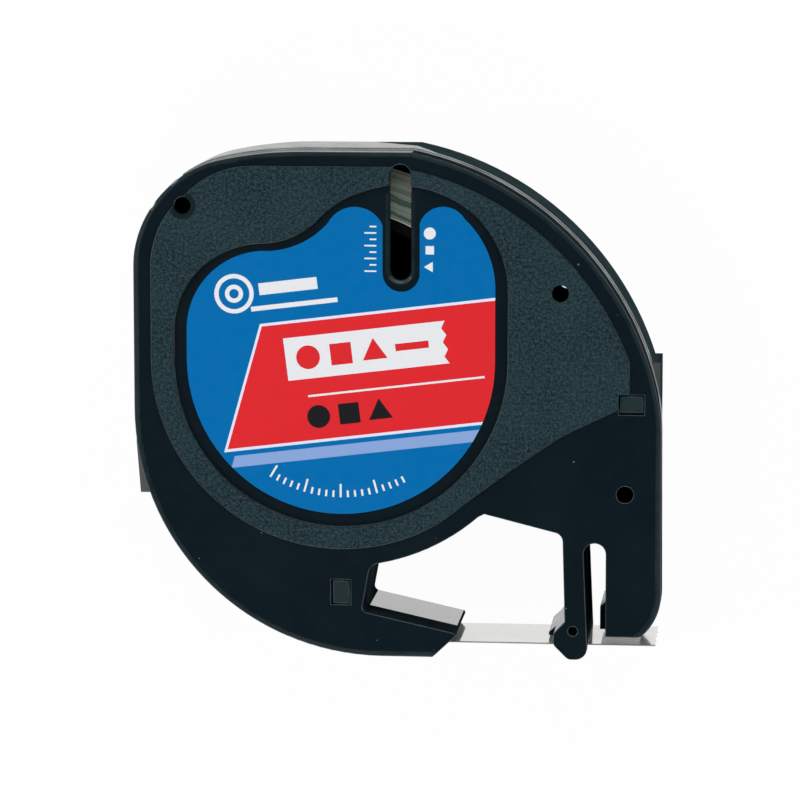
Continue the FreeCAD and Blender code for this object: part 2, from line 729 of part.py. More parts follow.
def tape_guides():
    """The lip on the block beside the cutter slot, and the rear hook of the finger."""
    lip = size("block_lip")
    height = BLOCK_FOOT + size("block_lip_height")
    block = Outline((BLOCK_LEFT - lip, BLOCK_FOOT)).line((BLOCK_LEFT + 0.5, BLOCK_FOOT))
    block.line((BLOCK_LEFT + 0.5, height + lip), (BLOCK_LEFT, height + lip), (BLOCK_LEFT - lip, height))
    reach = size("rear_hook_reach")
    hook_left = HOOK_LEFT - reach
    hook_top = FINGER_FOOT + size("finger_hook_top") - reach
    inner = HOOK_LEFT + 1.2
    finger = Outline((hook_left, hook_top)).line((hook_left, FINGER_FOOT + 1.0), (inner, FINGER_FOOT + 0.7))
    finger.line((inner, FINGER_FOOT + size("finger_hook_top") + 1.0))
    return {"BlockLip": block.close(), "RearHook": finger.close()}


# ---- the tape's path ----
def outer_tangent(first, first_radius, second, second_radius):
    """The outward normal of the straight run that touches two circles on the same side."""
    apart = (first[0] - second[0], first[1] - second[1])
    lean = math.acos((second_radius - first_radius) / math.hypot(*apart))
    angle = math.atan2(apart[1], apart[0]) + lean
    return (math.cos(angle), math.sin(angle))


ROLL_WRAP = size("roll_radius") + size("wrap_gap")
GUIDE_WRAP = size("guide_radius") + size("wrap_gap")
TAPE_THICKNESS = size("film_thickness") + size("liner_thickness")
GUIDE_ORBIT = size("belly_radius") - WALL - size("guide_wall_gap") - size("guide_radius")
GUIDE_X = WINDOW_LEFT - size("guide_setback")
GUIDE = (GUIDE_X, BELLY[1] - across(GUIDE_ORBIT, GUIDE_X - BELLY[0]))
STRIP_START = WINDOW_LEFT + size("strip_setback")
LEVEL = (STRIP_START, TAPE_TOP + size("level_bend"))
FREE_RUN = outer_tangent(ROLL, ROLL_WRAP, GUIDE, GUIDE_WRAP)
ARM_RUN = outer_tangent(GUIDE, GUIDE_WRAP, LEVEL, size("level_bend"))


def lead_outline(near, far):
    """The lead from the roll to the level run, between two depths in the tape's thickness."""
    def station(centre, normal, radius):
        return shifted(centre, normal[0] * radius, normal[1] * radius)

    down = (0, -1)
    bend = size("level_bend")
    outline = Outline(station(ROLL, FREE_RUN, ROLL_WRAP + near))
    outline.line(station(GUIDE, FREE_RUN, GUIDE_WRAP + near))
    outline.about(GUIDE, station(GUIDE, ARM_RUN, GUIDE_WRAP + near))
    outline.line(station(LEVEL, ARM_RUN, bend + near))
    outline.about(LEVEL, station(LEVEL, down, bend + near))
    outline.line(station(LEVEL, down, bend + far))
    outline.about(LEVEL, station(LEVEL, ARM_RUN, bend + far))
    outline.line(station(GUIDE, ARM_RUN, GUIDE_WRAP + far))
    outline.about(GUIDE, station(GUIDE, FREE_RUN, GUIDE_WRAP + far))
    outline.line(station(ROLL, FREE_RUN, ROLL_WRAP + far))
    return outline.close()


def lead_piece(name, near, far, rise, width):
    """A stretch of tape that keeps still: a layer of the lead, as wide as the expression says."""
    body = new_body(name)
    pad(body, name + "Band", outline_sketch(body, name + "Outline", lead_outline(near, far),
                                            TAPE_REAR + rise), width)
    return body


def strip_piece(name, layer_foot, thickness, rise, width):
    """A layer of the level run that slides out of the nose."""
    box = doc.addObject("Part::Box", name)
    box.Label = name
    box.setExpression("Length", "Sizes.casing_width - Sizes.side_pad - Sizes.strip_end_gap"
                                " - Sizes.window_setback - Sizes.strip_setback")
    box.setExpression("Width", thickness)
    box.setExpression("Height", width)
    box.Placement.Base = FreeCAD.Vector(STRIP_START + size("strip_gap"), layer_foot, TAPE_REAR + rise)
    return box


# ---- pieces inside ----
def tape_roll():
    body = new_body("tape_roll")
    sketch = circle_sketch(body, "RollRim", [ROLL], "Sizes.roll_radius", TAPE_REAR)
    add_circle(sketch, ROLL, "Sizes.core_radius + 0.02")
    pad(body, "Windings", sketch, "Sizes.tape_width")
    return body


def add_circle(sketch, centre, radius):
    """One more circle in a sketch, with its radius bound to an expression."""
    index = sketch.addGeometry(Part.Circle(flat(centre), FreeCAD.Vector(0, 0, 1), 1))
    sketch.addConstraint(Sketcher.Constraint("DistanceX", -1, 1, index, 3, centre[0]))
    sketch.addConstraint(Sketcher.Constraint("DistanceY", -1, 1, index, 3, centre[1]))
    bound = sketch.addConstraint(Sketcher.Constraint("Radius", index, 1))
    sketch.setExpression(f"Constraints[{bound}]", radius)


def spool_core():
    body = new_body("spool_core")
    middle = size("casing_thickness") / 2
    half_web = size("core_web") / 2
    edge = size("end_play")
    pad(body, "Web", circle_sketch(body, "WebCircle", [ROLL], "Sizes.core_radius", middle - half_web),
        "Sizes.core_web")
    rim = circle_sketch(body, "RimCircle", [ROLL], "Sizes.core_radius", TAPE_REAR + edge)
    add_circle(rim, ROLL, "Sizes.core_radius - Sizes.core_rim")
    pad(body, "Rim", rim, "Sizes.tape_width - 2 * Sizes.end_play")
    sleeve_foot = size("plate") + size("washer_thickness")
    pad(body, "Sleeve", circle_sketch(body, "SleeveCircle", [ROLL], "Sizes.core_hub_radius", sleeve_foot),
        "Sizes.casing_thickness - Sizes.field_rise - 2 * Sizes.plate - Sizes.washer_thickness"
        " - Sizes.end_play")
    window = (ROLL[0] + (size("core_hub_radius") + size("core_radius") - size("core_rim")) / 2, ROLL[1])
    cut = pocket(body, "CoreWindow", circle_sketch(body, "CoreWindowCircle", [window],
                                                   "Sizes.core_window_radius", middle - half_web),
                 "Sizes.core_web")
    ring_of(body, cut, ROLL, size("core_windows"))
    pocket(body, "CoreBore", circle_sketch(body, "CoreBoreCircle", [ROLL],
                                           "Sizes.hub_radius + Sizes.running_gap", sleeve_foot),
           "Sizes.casing_thickness")
    return body


def ring_of(body, feature, centre, copies):
    """Copies of a cut, turned about an upright line through a centre."""
    axis = new_sketch(body, feature.Name + "Axis", 0)
    axis.addGeometry(Part.LineSegment(flat(centre), flat(shifted(centre, 1, 0))), True)
    pattern = body.newObject("PartDesign::PolarPattern", feature.Name + "Ring")
    pattern.Originals = [feature]
    pattern.Axis = (axis, ["N_Axis"])
    axis.AttachmentOffset = FreeCAD.Placement(flat(centre), FreeCAD.Rotation())
    pattern.Angle = 360
    pattern.Occurrences = int(copies)
    body.Tip = pattern
    doc.recompute()
    return pattern


def round_sleeve(name, centre, outer, inner, level, length):
    """A plain ring, such as a roller or a washer."""
    body = new_body(name)
    sketch = circle_sketch(body, name + "Circles", [centre], outer, level)
    add_circle(sketch, centre, inner)
    pad(body, name + "Ring", sketch, length)
    return body


def leaf_point(along, out):
    """A place beside the roll: along its rim from where the leaf touches, and out from the rim."""
    angle = size("leaf_angle")
    touch = polar(ROLL, size("roll_radius") + size("tape_gap"), angle)
    return polar(polar(touch, out, angle), along, angle + 90)


def leaf_posts():
    """Two posts at each end of the leaf, one on each side of it."""
    reach = size("leaf_post_radius") + size("tape_gap")
    places = []
    for side in (-1, 1):
        for share, away in ((0.78, -reach), (0.94, reach + size("leaf_thickness"))):
            along = share * size("leaf_half_length")
            out = size("leaf_bow") * share**2
            lean = 2 * size("leaf_bow") * share / size("leaf_half_length")
            places.append(leaf_point(side * (along - away * lean), out + away))
    return places


def brake_leaf():
    body = new_body("brake_leaf")
    half = size("leaf_half_length")
    bow = size("leaf_bow")
    thick = size("leaf_thickness")
    outline = Outline(leaf_point(-half, bow))
    outline.arc(leaf_point(0, 0), leaf_point(half, bow))
    outline.line(leaf_point(half, bow + thick))
    outline.arc(leaf_point(0, thick), leaf_point(-half, bow + thick)).close()
    level = (size("casing_thickness") - size("leaf_width")) / 2
    pad(body, "Leaf", outline_sketch(body, "LeafOutline", outline, level), "Sizes.leaf_width")
    return body


def face_label():
    body = new_body("face_label")
    outline = label_outline(size("label_radius"), size("label_lobe_height"), True)
    pad(body, "Sticker", outline_sketch(body, "StickerOutline", outline, SEAT_LEVEL),
        "Sizes.label_thickness")
    return body


def exit_pad():
    """The felt under the tape, just inside the nose."""
    box = doc.addObject("Part::Box", "exit_felt")
    box.Label = "exit_felt"
    box.setExpression("Length", "Sizes.pad_length")
    box.setExpression("Width", "Sizes.tape_height - Sizes.liner_thickness - Sizes.tape_gap - Sizes.wall")
    box.setExpression("Height", "Sizes.tape_width - 2")
    box.Placement.Base = FreeCAD.Vector(WINDOW_LEFT + size("pad_setback"), FOOT + WALL, TAPE_REAR + 1)
    return box


HALF_WIDTH = "(Sizes.tape_width - Sizes.liner_split) / 2"
FRONT_HALF = (size("tape_width") + size("liner_split")) / 2
FILM = size("film_thickness")
LINER_TOP = TAPE_TOP - FILM

pieces = [
    front_shell(),
    rear_shell(),
    face_label(),
    spool_core(),
    tape_roll(),
    round_sleeve("spool_washer", ROLL, "Sizes.washer_radius", "Sizes.hub_radius + Sizes.running_gap",
                 size("plate"), "Sizes.washer_thickness"),
    round_sleeve("guide_roller", GUIDE, "Sizes.guide_radius",
                 "Sizes.guide_post_radius + Sizes.running_gap", TAPE_REAR - 0.3, "Sizes.tape_width + 0.6"),
    brake_leaf(),
    exit_pad(),
    lead_piece("lead_film", 0, FILM, 0, "Sizes.tape_width"),
    lead_piece("lead_liner_rear", FILM, TAPE_THICKNESS, 0, HALF_WIDTH),
    lead_piece("lead_liner_front", FILM, TAPE_THICKNESS, FRONT_HALF, HALF_WIDTH),
    strip_piece("strip_film", LINER_TOP, "Sizes.film_thickness", 0, "Sizes.tape_width"),
    strip_piece("strip_liner_rear", TAPE_BOTTOM, "Sizes.liner_thickness", 0, HALF_WIDTH),
    strip_piece("strip_liner_front", TAPE_BOTTOM, "Sizes.liner_thickness", FRONT_HALF, HALF_WIDTH),
]

doc.recompute()
for item in doc.Objects:
    if "Invalid" in item.State or "Error" in item.State:
        raise RuntimeError(f"{item.Name} failed")

os.makedirs("parts", exist_ok=True)
for piece in pieces:
    shape = piece.Shape
    if shape.isNull() or not shape.isValid() or not shape.Solids:
        raise RuntimeError(f"{piece.Label} has no valid solid")
    shape.exportStep(f"parts/{piece.Label}.step")
    print(piece.Label, len(shape.Solids), round(shape.Volume, 3))
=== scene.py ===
import math
import random

import bmesh
import bpy
from mathutils import Matrix, Vector


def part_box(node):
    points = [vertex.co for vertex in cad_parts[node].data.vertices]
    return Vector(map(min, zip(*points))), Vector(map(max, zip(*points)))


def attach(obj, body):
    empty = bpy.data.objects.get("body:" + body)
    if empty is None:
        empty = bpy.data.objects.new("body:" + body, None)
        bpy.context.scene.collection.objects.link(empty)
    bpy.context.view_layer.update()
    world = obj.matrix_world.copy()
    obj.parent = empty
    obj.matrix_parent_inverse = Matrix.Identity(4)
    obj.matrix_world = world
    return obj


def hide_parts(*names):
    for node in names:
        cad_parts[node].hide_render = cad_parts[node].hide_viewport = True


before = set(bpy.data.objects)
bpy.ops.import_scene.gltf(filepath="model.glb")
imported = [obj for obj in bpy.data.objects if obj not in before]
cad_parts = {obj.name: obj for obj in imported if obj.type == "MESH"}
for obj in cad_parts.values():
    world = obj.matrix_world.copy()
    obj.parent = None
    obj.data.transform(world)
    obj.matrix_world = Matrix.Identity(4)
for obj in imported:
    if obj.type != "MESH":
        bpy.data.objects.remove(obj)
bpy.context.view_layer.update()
mm = 0.001
print("frame loaded")


# camera, lamps, world and floor
view = {
    "place": (49.68, 70.01, 508.77),  # in millimetres from the casing's rear face
    "turn": 5.67,  # degrees to the right of straight above the label
    "tilt": 7.95,  # degrees above it
    "lens": 179.55,
    "sensor": 36,
    "clip": (0.05, 20),
}


def makeCamera():
    data = bpy.data.cameras.new("labelCamera")
    data.lens = view["lens"]
    data.sensor_width = view["sensor"]
    data.clip_start, data.clip_end = view["clip"]
    camera = bpy.data.objects.new("labelCamera", data)
    turn = math.radians(view["turn"])
    tilt = math.radians(view["tilt"])
    right = Vector((math.cos(turn), 0, -math.sin(turn)))
    up = Vector((-math.sin(turn) * math.sin(tilt), math.cos(tilt),
                 -math.cos(turn) * math.sin(tilt)))
    turned = Matrix((right, up, right.cross(up))).transposed().to_4x4()
    camera.matrix_world = Matrix.Translation(Vector(view["place"]) * mm) @ turned
    bpy.context.scene.collection.objects.link(camera)
    bpy.context.scene.camera = camera


studio = {
    "lamps": [  # name, place, size and power of each soft box
        ("topBox", (0.05, 0.66, 0.42), (0.7, 0.35), 2.7),
        ("leftBox", (-0.66, 0.1, 0.45), (0.5, 0.4), 3.0),
        ("rightBox", (0.68, -0.12, 0.4), (0.5, 0.4), 2.3),
        ("footBox", (-0.1, -0.66, 0.5), (0.6, 0.3), 3.0),
    ],
    "aim": (0, 0, 0.01),
    "room": [  # height and colour of the world's horizon and ceiling
        (0.05, (0.6, 0.61, 0.62, 1)),
        (0.6, (0.045, 0.048, 0.052, 1)),
    ],
    "white": (1, 1, 1, 1),
    "floorColour": (0.9, 0.9, 0.895, 1),
    "floorHalf": 4,  # half of the floor's width, in metres
    "floorLevel": -0.0002,
    "whiteShare": 0.97,  # how much of the floor is plain white to the camera
}


# a shader node in a tree, with each input linked or set
def addNode(tree, kind, inputs=None, **settings):
    node = tree.nodes.new("ShaderNode" + kind)
    for key, value in settings.items():
        setattr(node, key, value)
    for key, value in (inputs or {}).items():
        if isinstance(value, bpy.types.NodeSocket):
            tree.links.new(value, node.inputs[key])
        else:
            node.inputs[key].default_value = value
    return node


def makeLamps():
    for name, place, size, power in studio["lamps"]:
        data = bpy.data.lights.new(name, "AREA")
        data.shape = "RECTANGLE"
        data.size, data.size_y = size
        data.energy = power
        lamp = bpy.data.objects.new(name, data)
        lamp.location = place
        aim = Vector(studio["aim"]) - Vector(place)
        lamp.rotation_euler = aim.to_track_quat("-Z", "Y").to_euler()
        bpy.context.scene.collection.objects.link(lamp)


# the world lights the part like a room, and is white to the camera
def makeWorld():
    world = bpy.data.worlds.new("studioWorld")
    bpy.context.scene.world = world
    world.use_nodes = True
    tree = world.node_tree
    tree.nodes.clear()
    coords = addNode(tree, "TexCoord")
    height = addNode(tree, "SeparateXYZ", {0: coords.outputs["Generated"]}).outputs["Z"]
    ramp = addNode(tree, "ValToRGB", {"Fac": height})
    for element, (position, colour) in zip(ramp.color_ramp.elements, studio["room"]):
        element.position = position
        element.color = colour
    room = addNode(tree, "Background", {"Color": ramp.outputs["Color"]})
    white = addNode(tree, "Background", {"Color": studio["white"]})
    light = addNode(tree, "LightPath")
    mix = addNode(tree, "MixShader", {
        0: light.outputs["Is Camera Ray"], 1: room.outputs[0], 2: white.outputs[0]})
    addNode(tree, "OutputWorld", {"Surface": mix.outputs[0]})


# the floor is pale to the light, and nearly white where it is seen, mirrored or seen through film
def floorFinish():
    material = bpy.data.materials.new("paleFloor")
    material.use_nodes = True
    tree = material.node_tree
    tree.nodes.clear()
    light = addNode(tree, "LightPath").outputs
    seen = addNode(tree, "Math", {0: light["Is Camera Ray"], 1: light["Is Glossy Ray"]},
                   operation="ADD", use_clamp=True)
    through = addNode(tree, "Math", {0: seen.outputs[0], 1: light["Is Transmission Ray"]},
                      operation="ADD", use_clamp=True)
    share = addNode(tree, "Math", {0: through.outputs[0], 1: studio["whiteShare"]},
                    operation="MULTIPLY")
    paint = addNode(tree, "BsdfDiffuse", {"Color": studio["floorColour"]})
    glow = addNode(tree, "Emission")
    mix = addNode(tree, "MixShader", {
        0: share.outputs[0], 1: paint.outputs[0], 2: glow.outputs[0]})
    addNode(tree, "OutputMaterial", {"Surface": mix.outputs[0]})
    return material


def makeFloor():
    bm = bmesh.new()
    bmesh.ops.create_grid(bm, x_segments=1, y_segments=1, size=studio["floorHalf"])
    bmesh.ops.translate(bm, vec=(0, 0, studio["floorLevel"]), verts=bm.verts)
    mesh = bpy.data.meshes.new("studioFloor")
    bm.to_mesh(mesh)
    bm.free()
    floor = bpy.data.objects.new("studioFloor", mesh)
    bpy.context.scene.collection.objects.link(floor)
    floor.data.materials.append(floorFinish())


bpy.context.scene.view_settings.view_transform = "Standard"
makeCamera()
makeLamps()
makeWorld()
makeFloor()
print("camera, lamps and floor made")


# a material in the making, with its node tree and its Principled shader
class Finish:
    def __init__(self, name, **values):
        self.material = bpy.data.materials.new(name)
        self.material.use_nodes = True
        self.tree = self.material.node_tree
        self.shader = self.tree.nodes["Principled BSDF"]
        for socket, value in values.items():
            self.shader.inputs[socket.replace("_", " ")].default_value = value
        self.place = self.node("TexCoord").outputs["Object"]

    def node(self, kind, inputs=None, **settings):
        return addNode(self.tree, kind, inputs, **settings)

    def math(self, operation, first, second=0.0):
        return self.node("Math", {0: first, 1: second}, operation=operation).outputs[0]

    def axes(self, source=None):
        return self.node("SeparateXYZ", {0: source or self.place}).outputs

    def noise(self, scale, detail=3.0, roughness=0.5, source=None):
        inputs = {"Vector": source or self.place, "Scale": scale, "Detail": detail,
                  "Roughness": roughness}
        return self.node("TexNoise", inputs).outputs["Fac"]

    # a value's place between two limits, carried to two others
    def span(self, value, low, high, toLow=0.0, toHigh=1.0):
        inputs = {"Value": value, "From Min": low, "From Max": high, "To Min": toLow,
                  "To Max": toHigh}
        return self.node("MapRange", inputs).outputs[0]

    # 1 where a value lies between two limits, and 0 elsewhere
    def between(self, value, low, high):
        above = self.math("GREATER_THAN", value, low)
        return self.math("MULTIPLY", above, self.math("LESS_THAN", value, high))

    def blend(self, share, first, second):
        return self.node("Mix", {0: share, 6: first, 7: second}, data_type="RGBA").outputs[2]

    def bump(self, height, distance, strength=1.0):
        inputs = {"Height": height, "Distance": distance, "Strength": strength}
        return self.node("Bump", inputs).outputs[0]

    def feed(self, socket, value):
        self.tree.links.new(value, self.shader.inputs[socket])


# an object at the origin from a bmesh, with its finishes and body
def addPiece(name, bm, finishes, body, nodes=()):
    mesh = bpy.data.meshes.new(name)
    bm.to_mesh(mesh)
    bm.free()
    piece = bpy.data.objects.new(name, mesh)
    bpy.context.scene.collection.objects.link(piece)
    for finish in finishes:
        mesh.materials.append(finish)
    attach(piece, body)
    if nodes:
        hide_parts(*nodes)
    return piece


meshing = {
    "merge": 2e-6,  # corners nearer than this are one
    "flat": 0.6,  # degrees within which a stretch counts as flat
    "moulded": 47,  # degrees up to which an edge is shaded smooth
    "crisp": 30,
}


# a node's mesh with its loose triangles joined and its flat stretches made one
def mergedCopy(node):
    bm = bmesh.new()
    bm.from_mesh(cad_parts[node].data)
    bmesh.ops.remove_doubles(bm, verts=bm.verts, dist=meshing["merge"])
    bmesh.ops.dissolve_limit(bm, angle_limit=math.radians(meshing["flat"]), verts=bm.verts,
                             edges=bm.edges)
    return bm


def shadeSmooth(piece, angle):
    piece.data.shade_smooth()
    piece.data.set_sharp_from_angle(angle=math.radians(angle))


def shadeEvenly(piece, angle):
    shadeSmooth(piece, angle)
    weighted = piece.modifiers.new("evenShading", "WEIGHTED_NORMAL")
    weighted.keep_sharp = True


# casing, with its lengths and places in millimetres
casing = {
    "plastic": (0.0026, 0.0082, 0.0128, 1),
    "plasticGreen": (0.004, 0.0115, 0.0152, 1),
    "dust": (0.13, 0.16, 0.17, 1),
    "dustCells": 130.0,
    "dustSize": 0.016,
    "dustLevel": 15.6,
    "field": (0.0025, 0.0098, 0.0145, 1),
    "fieldSpark": (0.03, 0.066, 0.078, 1),
    "grainScale": 2500,
    "fineGrain": 2.3,  # how many times finer the second grain is
    # painted shade: matt, unreflecting colours for the rear shell's walls facing right and the
    # crown's top wall beyond the gloss line
    "side": (0.03, 0.048, 0.054, 1),
    "sideDark": (0.018, 0.033, 0.039, 1),
    # painted shade: matt, unreflecting colours for the front shell's walls facing right and the
    # gauge slot's surround
    "wall": (0.009, 0.016, 0.02, 1),
    "wallGreen": (0.014, 0.026, 0.031, 1),
    # painted light: a slightly lighter, almost unreflecting copy of the plastic for the front
    # shell's rounded rim
    "round": (0.0055, 0.014, 0.0185, 1),
    # painted light: a lighter copy of the plastic on the snap heads' faces turned up or towards
    # the crown
    "snap": (0.014, 0.03, 0.034, 1),
    "snapDark": (0.008, 0.018, 0.022, 1),
    "glint": (0.035, 0.055, 0.062, 1),
    # painted highlight: pale grey on the parting line's rounds and on the front shell's flare
    "paintedHighlight": (0.42, 0.43, 0.42, 1),
    "paintedHighlightDark": (0.2, 0.21, 0.21, 1),
    # painted shade: near-black, unreflecting bore walls
    "bore": (0.0006, 0.0008, 0.001, 1),
    # painted light: pale grey on the parting face where the side pads show, for the light they
    # catch
    "padPaintedLight": (0.13, 0.132, 0.125, 1),
    "padBeside": 31.2,  # from here outwards, on both sides, the parting face belongs to a pad
    "padSpan": (-13, 7),
    "near": 0.02,  # places nearer than this count as one
    "fieldTop": 16,
    "fieldFoot": 15.72,
    "faceLevel": 15.7,
    "snapLevel": 15.0,
    "parting": 10.5,
    "levels": {  # where level faces meet upright ones and get a small round
        "front_shell": (15.1, 15.5, 15.7, 16.0),
        "rear_shell": (0.0, 0.15, 0.3, 15.15, 15.7),
    },
    "edge": 0.1,  # width of the small rounds
    "edgeSteps": 3,
    "edgeAngle": 32,  # degrees from which an edge gets its round
    "partingEdge": 0.12,  # width of the parting line's own round on the rear shell
    "partingAngle": 1.2,
    "ledge": 0.17,  # how far the front shell stands back at its foot
    "ledgeTop": 0.3,  # and above its small flare
    "flareTop": 10.8,
    "flareCut": 0.05,  # the foot ends this much below the flare's top
    "ledgeLeft": (19, 27),  # the ledge fades between these heights on the left,
    "ledgeStep": (-3, 3),  # becomes a little narrower between these on the right,
    "ledgeLower": 0.8,
    "ledgeRight": (-23, -18),  # and fades between these
    "ledgeLeast": 0.2,
    "rimTurn": (0.9, 14.8),  # where each shell's outer wall turns into its rounded rim
    "nicks": [(-31.2, 25.44), (-28.27, 28.63)],
    "nickReach": 1.2,
    "glossEnd": ((-4.1, 32.1, 0.9), (5.2, 31.6, 10.5)),  # where the top's gloss ends, slantwise, and painted shade begins
    "glossWall": (28, 12),  # the wall that is cut lies above the first, left of the second
    "armTop": ((-5, -32), (9, -16)),  # low and high corner of the arm's upper side
    "gauge": ((-1.6, 13.5, 14.4), (3.1, 31.0, 15.49)),  # and of the gauge slot's surround
    "pegRing": (-26.65, 25.05, 1.6),  # place and radius of the smooth ring round the peg's hole
    "ringFade": 0.25,
    "bores": [(20.8, 14.45), (29.0, -10.8), (-26.65, 25.05)],
    "boreReach": 1.1,
    "boreTop": 15.55,
    "lean": {  # shares of a face's normal that tell the casing's faces apart
        "upright": 0.12,  # upwards, at most
        "wall": 0.1,
        "outer": 0.2,
        "shaded": 0.3,
        "nick": 0.9,
        "level": 0.99,  # upwards, at least
        "flat": 0.995,
        "round": (0.01, 0.99),  # upwards, between the two
        "rim": (0.01, 0.9),
        "front": (0.02, 0.99),
        "flare": (0.15, 0.6),
        "bevelEnd": (0.3, 0.5),  # towards the crown and upwards, at least
        "snap": 0.5,  # towards the crown or upwards, at least
        "crown": 0.1,  # towards the crown, at least
        "topWall": 0.6,
        "armTop": 0.7,
        "shadedRight": 0.1,  # to the right, at least
        "sideRight": 0.4,
    },
}
lean = casing["lean"]


def glossFinish(name, **values):
    finish = Finish(name, IOR=1.49, **values)
    wide = finish.noise(90, 3.0, 0.55)
    smear = finish.noise(420, 3.0, 0.6)
    plain = finish.blend(finish.span(wide, 0.35, 0.7), casing["plastic"], casing["plasticGreen"])
    x, y, level = finish.axes()
    flat = finish.node("CombineXYZ", {0: x, 1: y}).outputs[0]
    cells = finish.node("TexVoronoi", {"Vector": flat, "Scale": casing["dustCells"]},
                        voronoi_dimensions="2D")
    chance = finish.axes(cells.outputs["Color"])[0]
    size = finish.span(chance, 0.45, 1.0, 0.0, casing["dustSize"])
    speck = finish.math("LESS_THAN", cells.outputs["Distance"], size)
    high = finish.math("GREATER_THAN", level, casing["dustLevel"] * mm)
    dust = finish.math("MULTIPLY", speck, high)
    finish.feed("Base Color", finish.blend(dust, plain, casing["dust"]))
    finish.feed("Roughness", finish.span(smear, 0.3, 0.75, 0.18, 0.26))
    finish.feed("Normal", finish.bump(wide, 0.00004, 0.2))
    return finish.material


def grainFinish():
    finish = Finish("grainyField", IOR=1.49, Specular_IOR_Level=0.12)
    grain = finish.noise(casing["grainScale"], 2.0, 0.6)
    fine = finish.noise(casing["grainScale"] * casing["fineGrain"], 1.0, 0.5)
    wide = finish.noise(160, 3.0, 0.5)
    sparks = finish.span(finish.math("MULTIPLY", grain, fine), 0.16, 0.38)
    colour = finish.blend(sparks, casing["field"], casing["fieldSpark"])
    x, y, reach = casing["pegRing"]
    middle = (x * mm, y * mm, casing["fieldTop"] * mm)
    away = finish.node("VectorMath", {0: finish.place, 1: middle}, operation="DISTANCE")
    outside = finish.span(away.outputs["Value"], reach * mm, (reach + casing["ringFade"]) * mm)
    colour = finish.blend(finish.span(wide, 0.35, 0.7, 0.0, 0.22), colour, casing["fieldSpark"])
    finish.feed("Base Color", finish.blend(outside, casing["plasticGreen"], colour))
    finish.feed("Roughness", finish.span(fine, 0.3, 0.7, 0.5, 0.75))
    pores = finish.math("ADD", grain, finish.math("MULTIPLY", fine, 0.5))
    finish.feed("Normal", finish.bump(pores, 0.00012, 0.9))
    return finish.material


def mattFinish(name, colour, second, roughness, scale, **values):
    finish = Finish(name, **values)
    cloud = finish.noise(scale, 3.0, 0.55)
    finish.feed("Base Color", finish.blend(finish.span(cloud, 0.3, 0.7), colour, second))
    finish.feed("Roughness", finish.span(cloud, 0.3, 0.7, roughness, roughness + 0.1))
    finish.feed("Normal", finish.bump(finish.noise(scale * 4, 2.0), 0.00001, 0.5))
    return finish.material


# the rear shell's level parting face, with painted light: pale grey where the side pads show
# beside the front shell
def partingFinish():
    finish = Finish("partingFace", IOR=1.49, Specular_IOR_Level=0.2)
    x, y, _ = finish.axes()
    low, high = casing["padSpan"]
    beside = finish.math("GREATER_THAN", finish.math("ABSOLUTE", x), casing["padBeside"] * mm)
    pad = finish.math("MULTIPLY", beside, finish.between(y, low * mm, high * mm))
    cloud = finish.noise(260, 3.0)
    plain = finish.blend(cloud, casing["plastic"], casing["plasticGreen"])
    dark = finish.span(cloud, 0.3, 0.7, 0.0, 0.35)
    # the pads' painted light, clouded towards the side colour
    paintedPadTone = finish.blend(dark, casing["padPaintedLight"], casing["side"])
    finish.feed("Base Color", finish.blend(pad, plain, paintedPadTone))
    finish.feed("Roughness", finish.span(cloud, 0.3, 0.7, 0.4, 0.55))
    finish.feed("Normal", finish.bump(cloud, 0.00001, 0.3))
    return finish.material


# each shell's finishes in the order of its material slots
def casingFinishes():
    gloss = glossFinish("casingPlastic")
    bore = mattFinish("boreShade", casing["bore"], casing["bore"], 0.9, 900,
                      Specular_IOR_Level=0.0)
    # painted highlight for the parting line's rounds and the flare
    paintedHighlight = mattFinish("paintedPartingHighlight", casing["paintedHighlight"], casing["paintedHighlightDark"], 0.3, 180)
    glint = mattFinish("edgeGlint", casing["glint"], casing["wallGreen"], 0.3, 500)
    front = {
        "gloss": gloss,
        "grain": grainFinish(),
        "bore": bore,
        # painted shade on walls facing right and in the gauge surround
        "wall": mattFinish("wallShade", casing["wall"], casing["wallGreen"], 0.55, 300,
                           Specular_IOR_Level=0.0),
        # painted light on the rounded rim
        "rim": mattFinish("softEdgePaintedLight", casing["round"], casing["wallGreen"], 0.4, 420,
                          Specular_IOR_Level=0.08),
        "paintedHighlight": paintedHighlight,
        "glint": glint,
    }
    rear = {
        "gloss": gloss,
        # painted shade on walls facing right and on the crown
        "side": mattFinish("crownSidePaintedShade", casing["side"], casing["sideDark"], 0.6, 260,
                           Specular_IOR_Level=0.0),
        "bore": bore,
        "paintedHighlight": paintedHighlight,
        # painted light on the snap heads
        "snap": mattFinish("snapHeadPaintedLight", casing["snap"], casing["snapDark"], 0.4, 700,
                           Specular_IOR_Level=0.3),
        "arm": glossFinish("armPlastic", Coat_Weight=0.8, Coat_Roughness=0.15),
        "glint": glint,
        "parting": partingFinish(),
    }
    return front, rear


def near(first, second):
    return abs(first - second) < casing["near"]


def lies(value, limits):
    return limits[0] < value < limits[1]


# the share of the way from one height to another, kept between 0 and 1
def climb(height, limits):
    return min(max((height - limits[0]) / (limits[1] - limits[0]), 0), 1)


def inBore(place):
    for x, y in casing["bores"]:
        if math.hypot(place.x / mm - x, place.y / mm - y) < casing["boreReach"]:
            return place.z / mm < casing["boreTop"]
    return False


def inNick(place):
    return place.z / mm > casing["rimTurn"][1] and any(
        math.hypot(place.x / mm - x, place.y / mm - y) < casing["nickReach"]
        for x, y in casing["nicks"])


def inGauge(place):
    low, high = casing["gauge"]
    return all(low[axis] < place[axis] / mm < high[axis] for axis in range(3))


def onArm(place):
    low, high = casing["armTop"]
    return all(low[axis] < place[axis] / mm < high[axis] for axis in range(2))


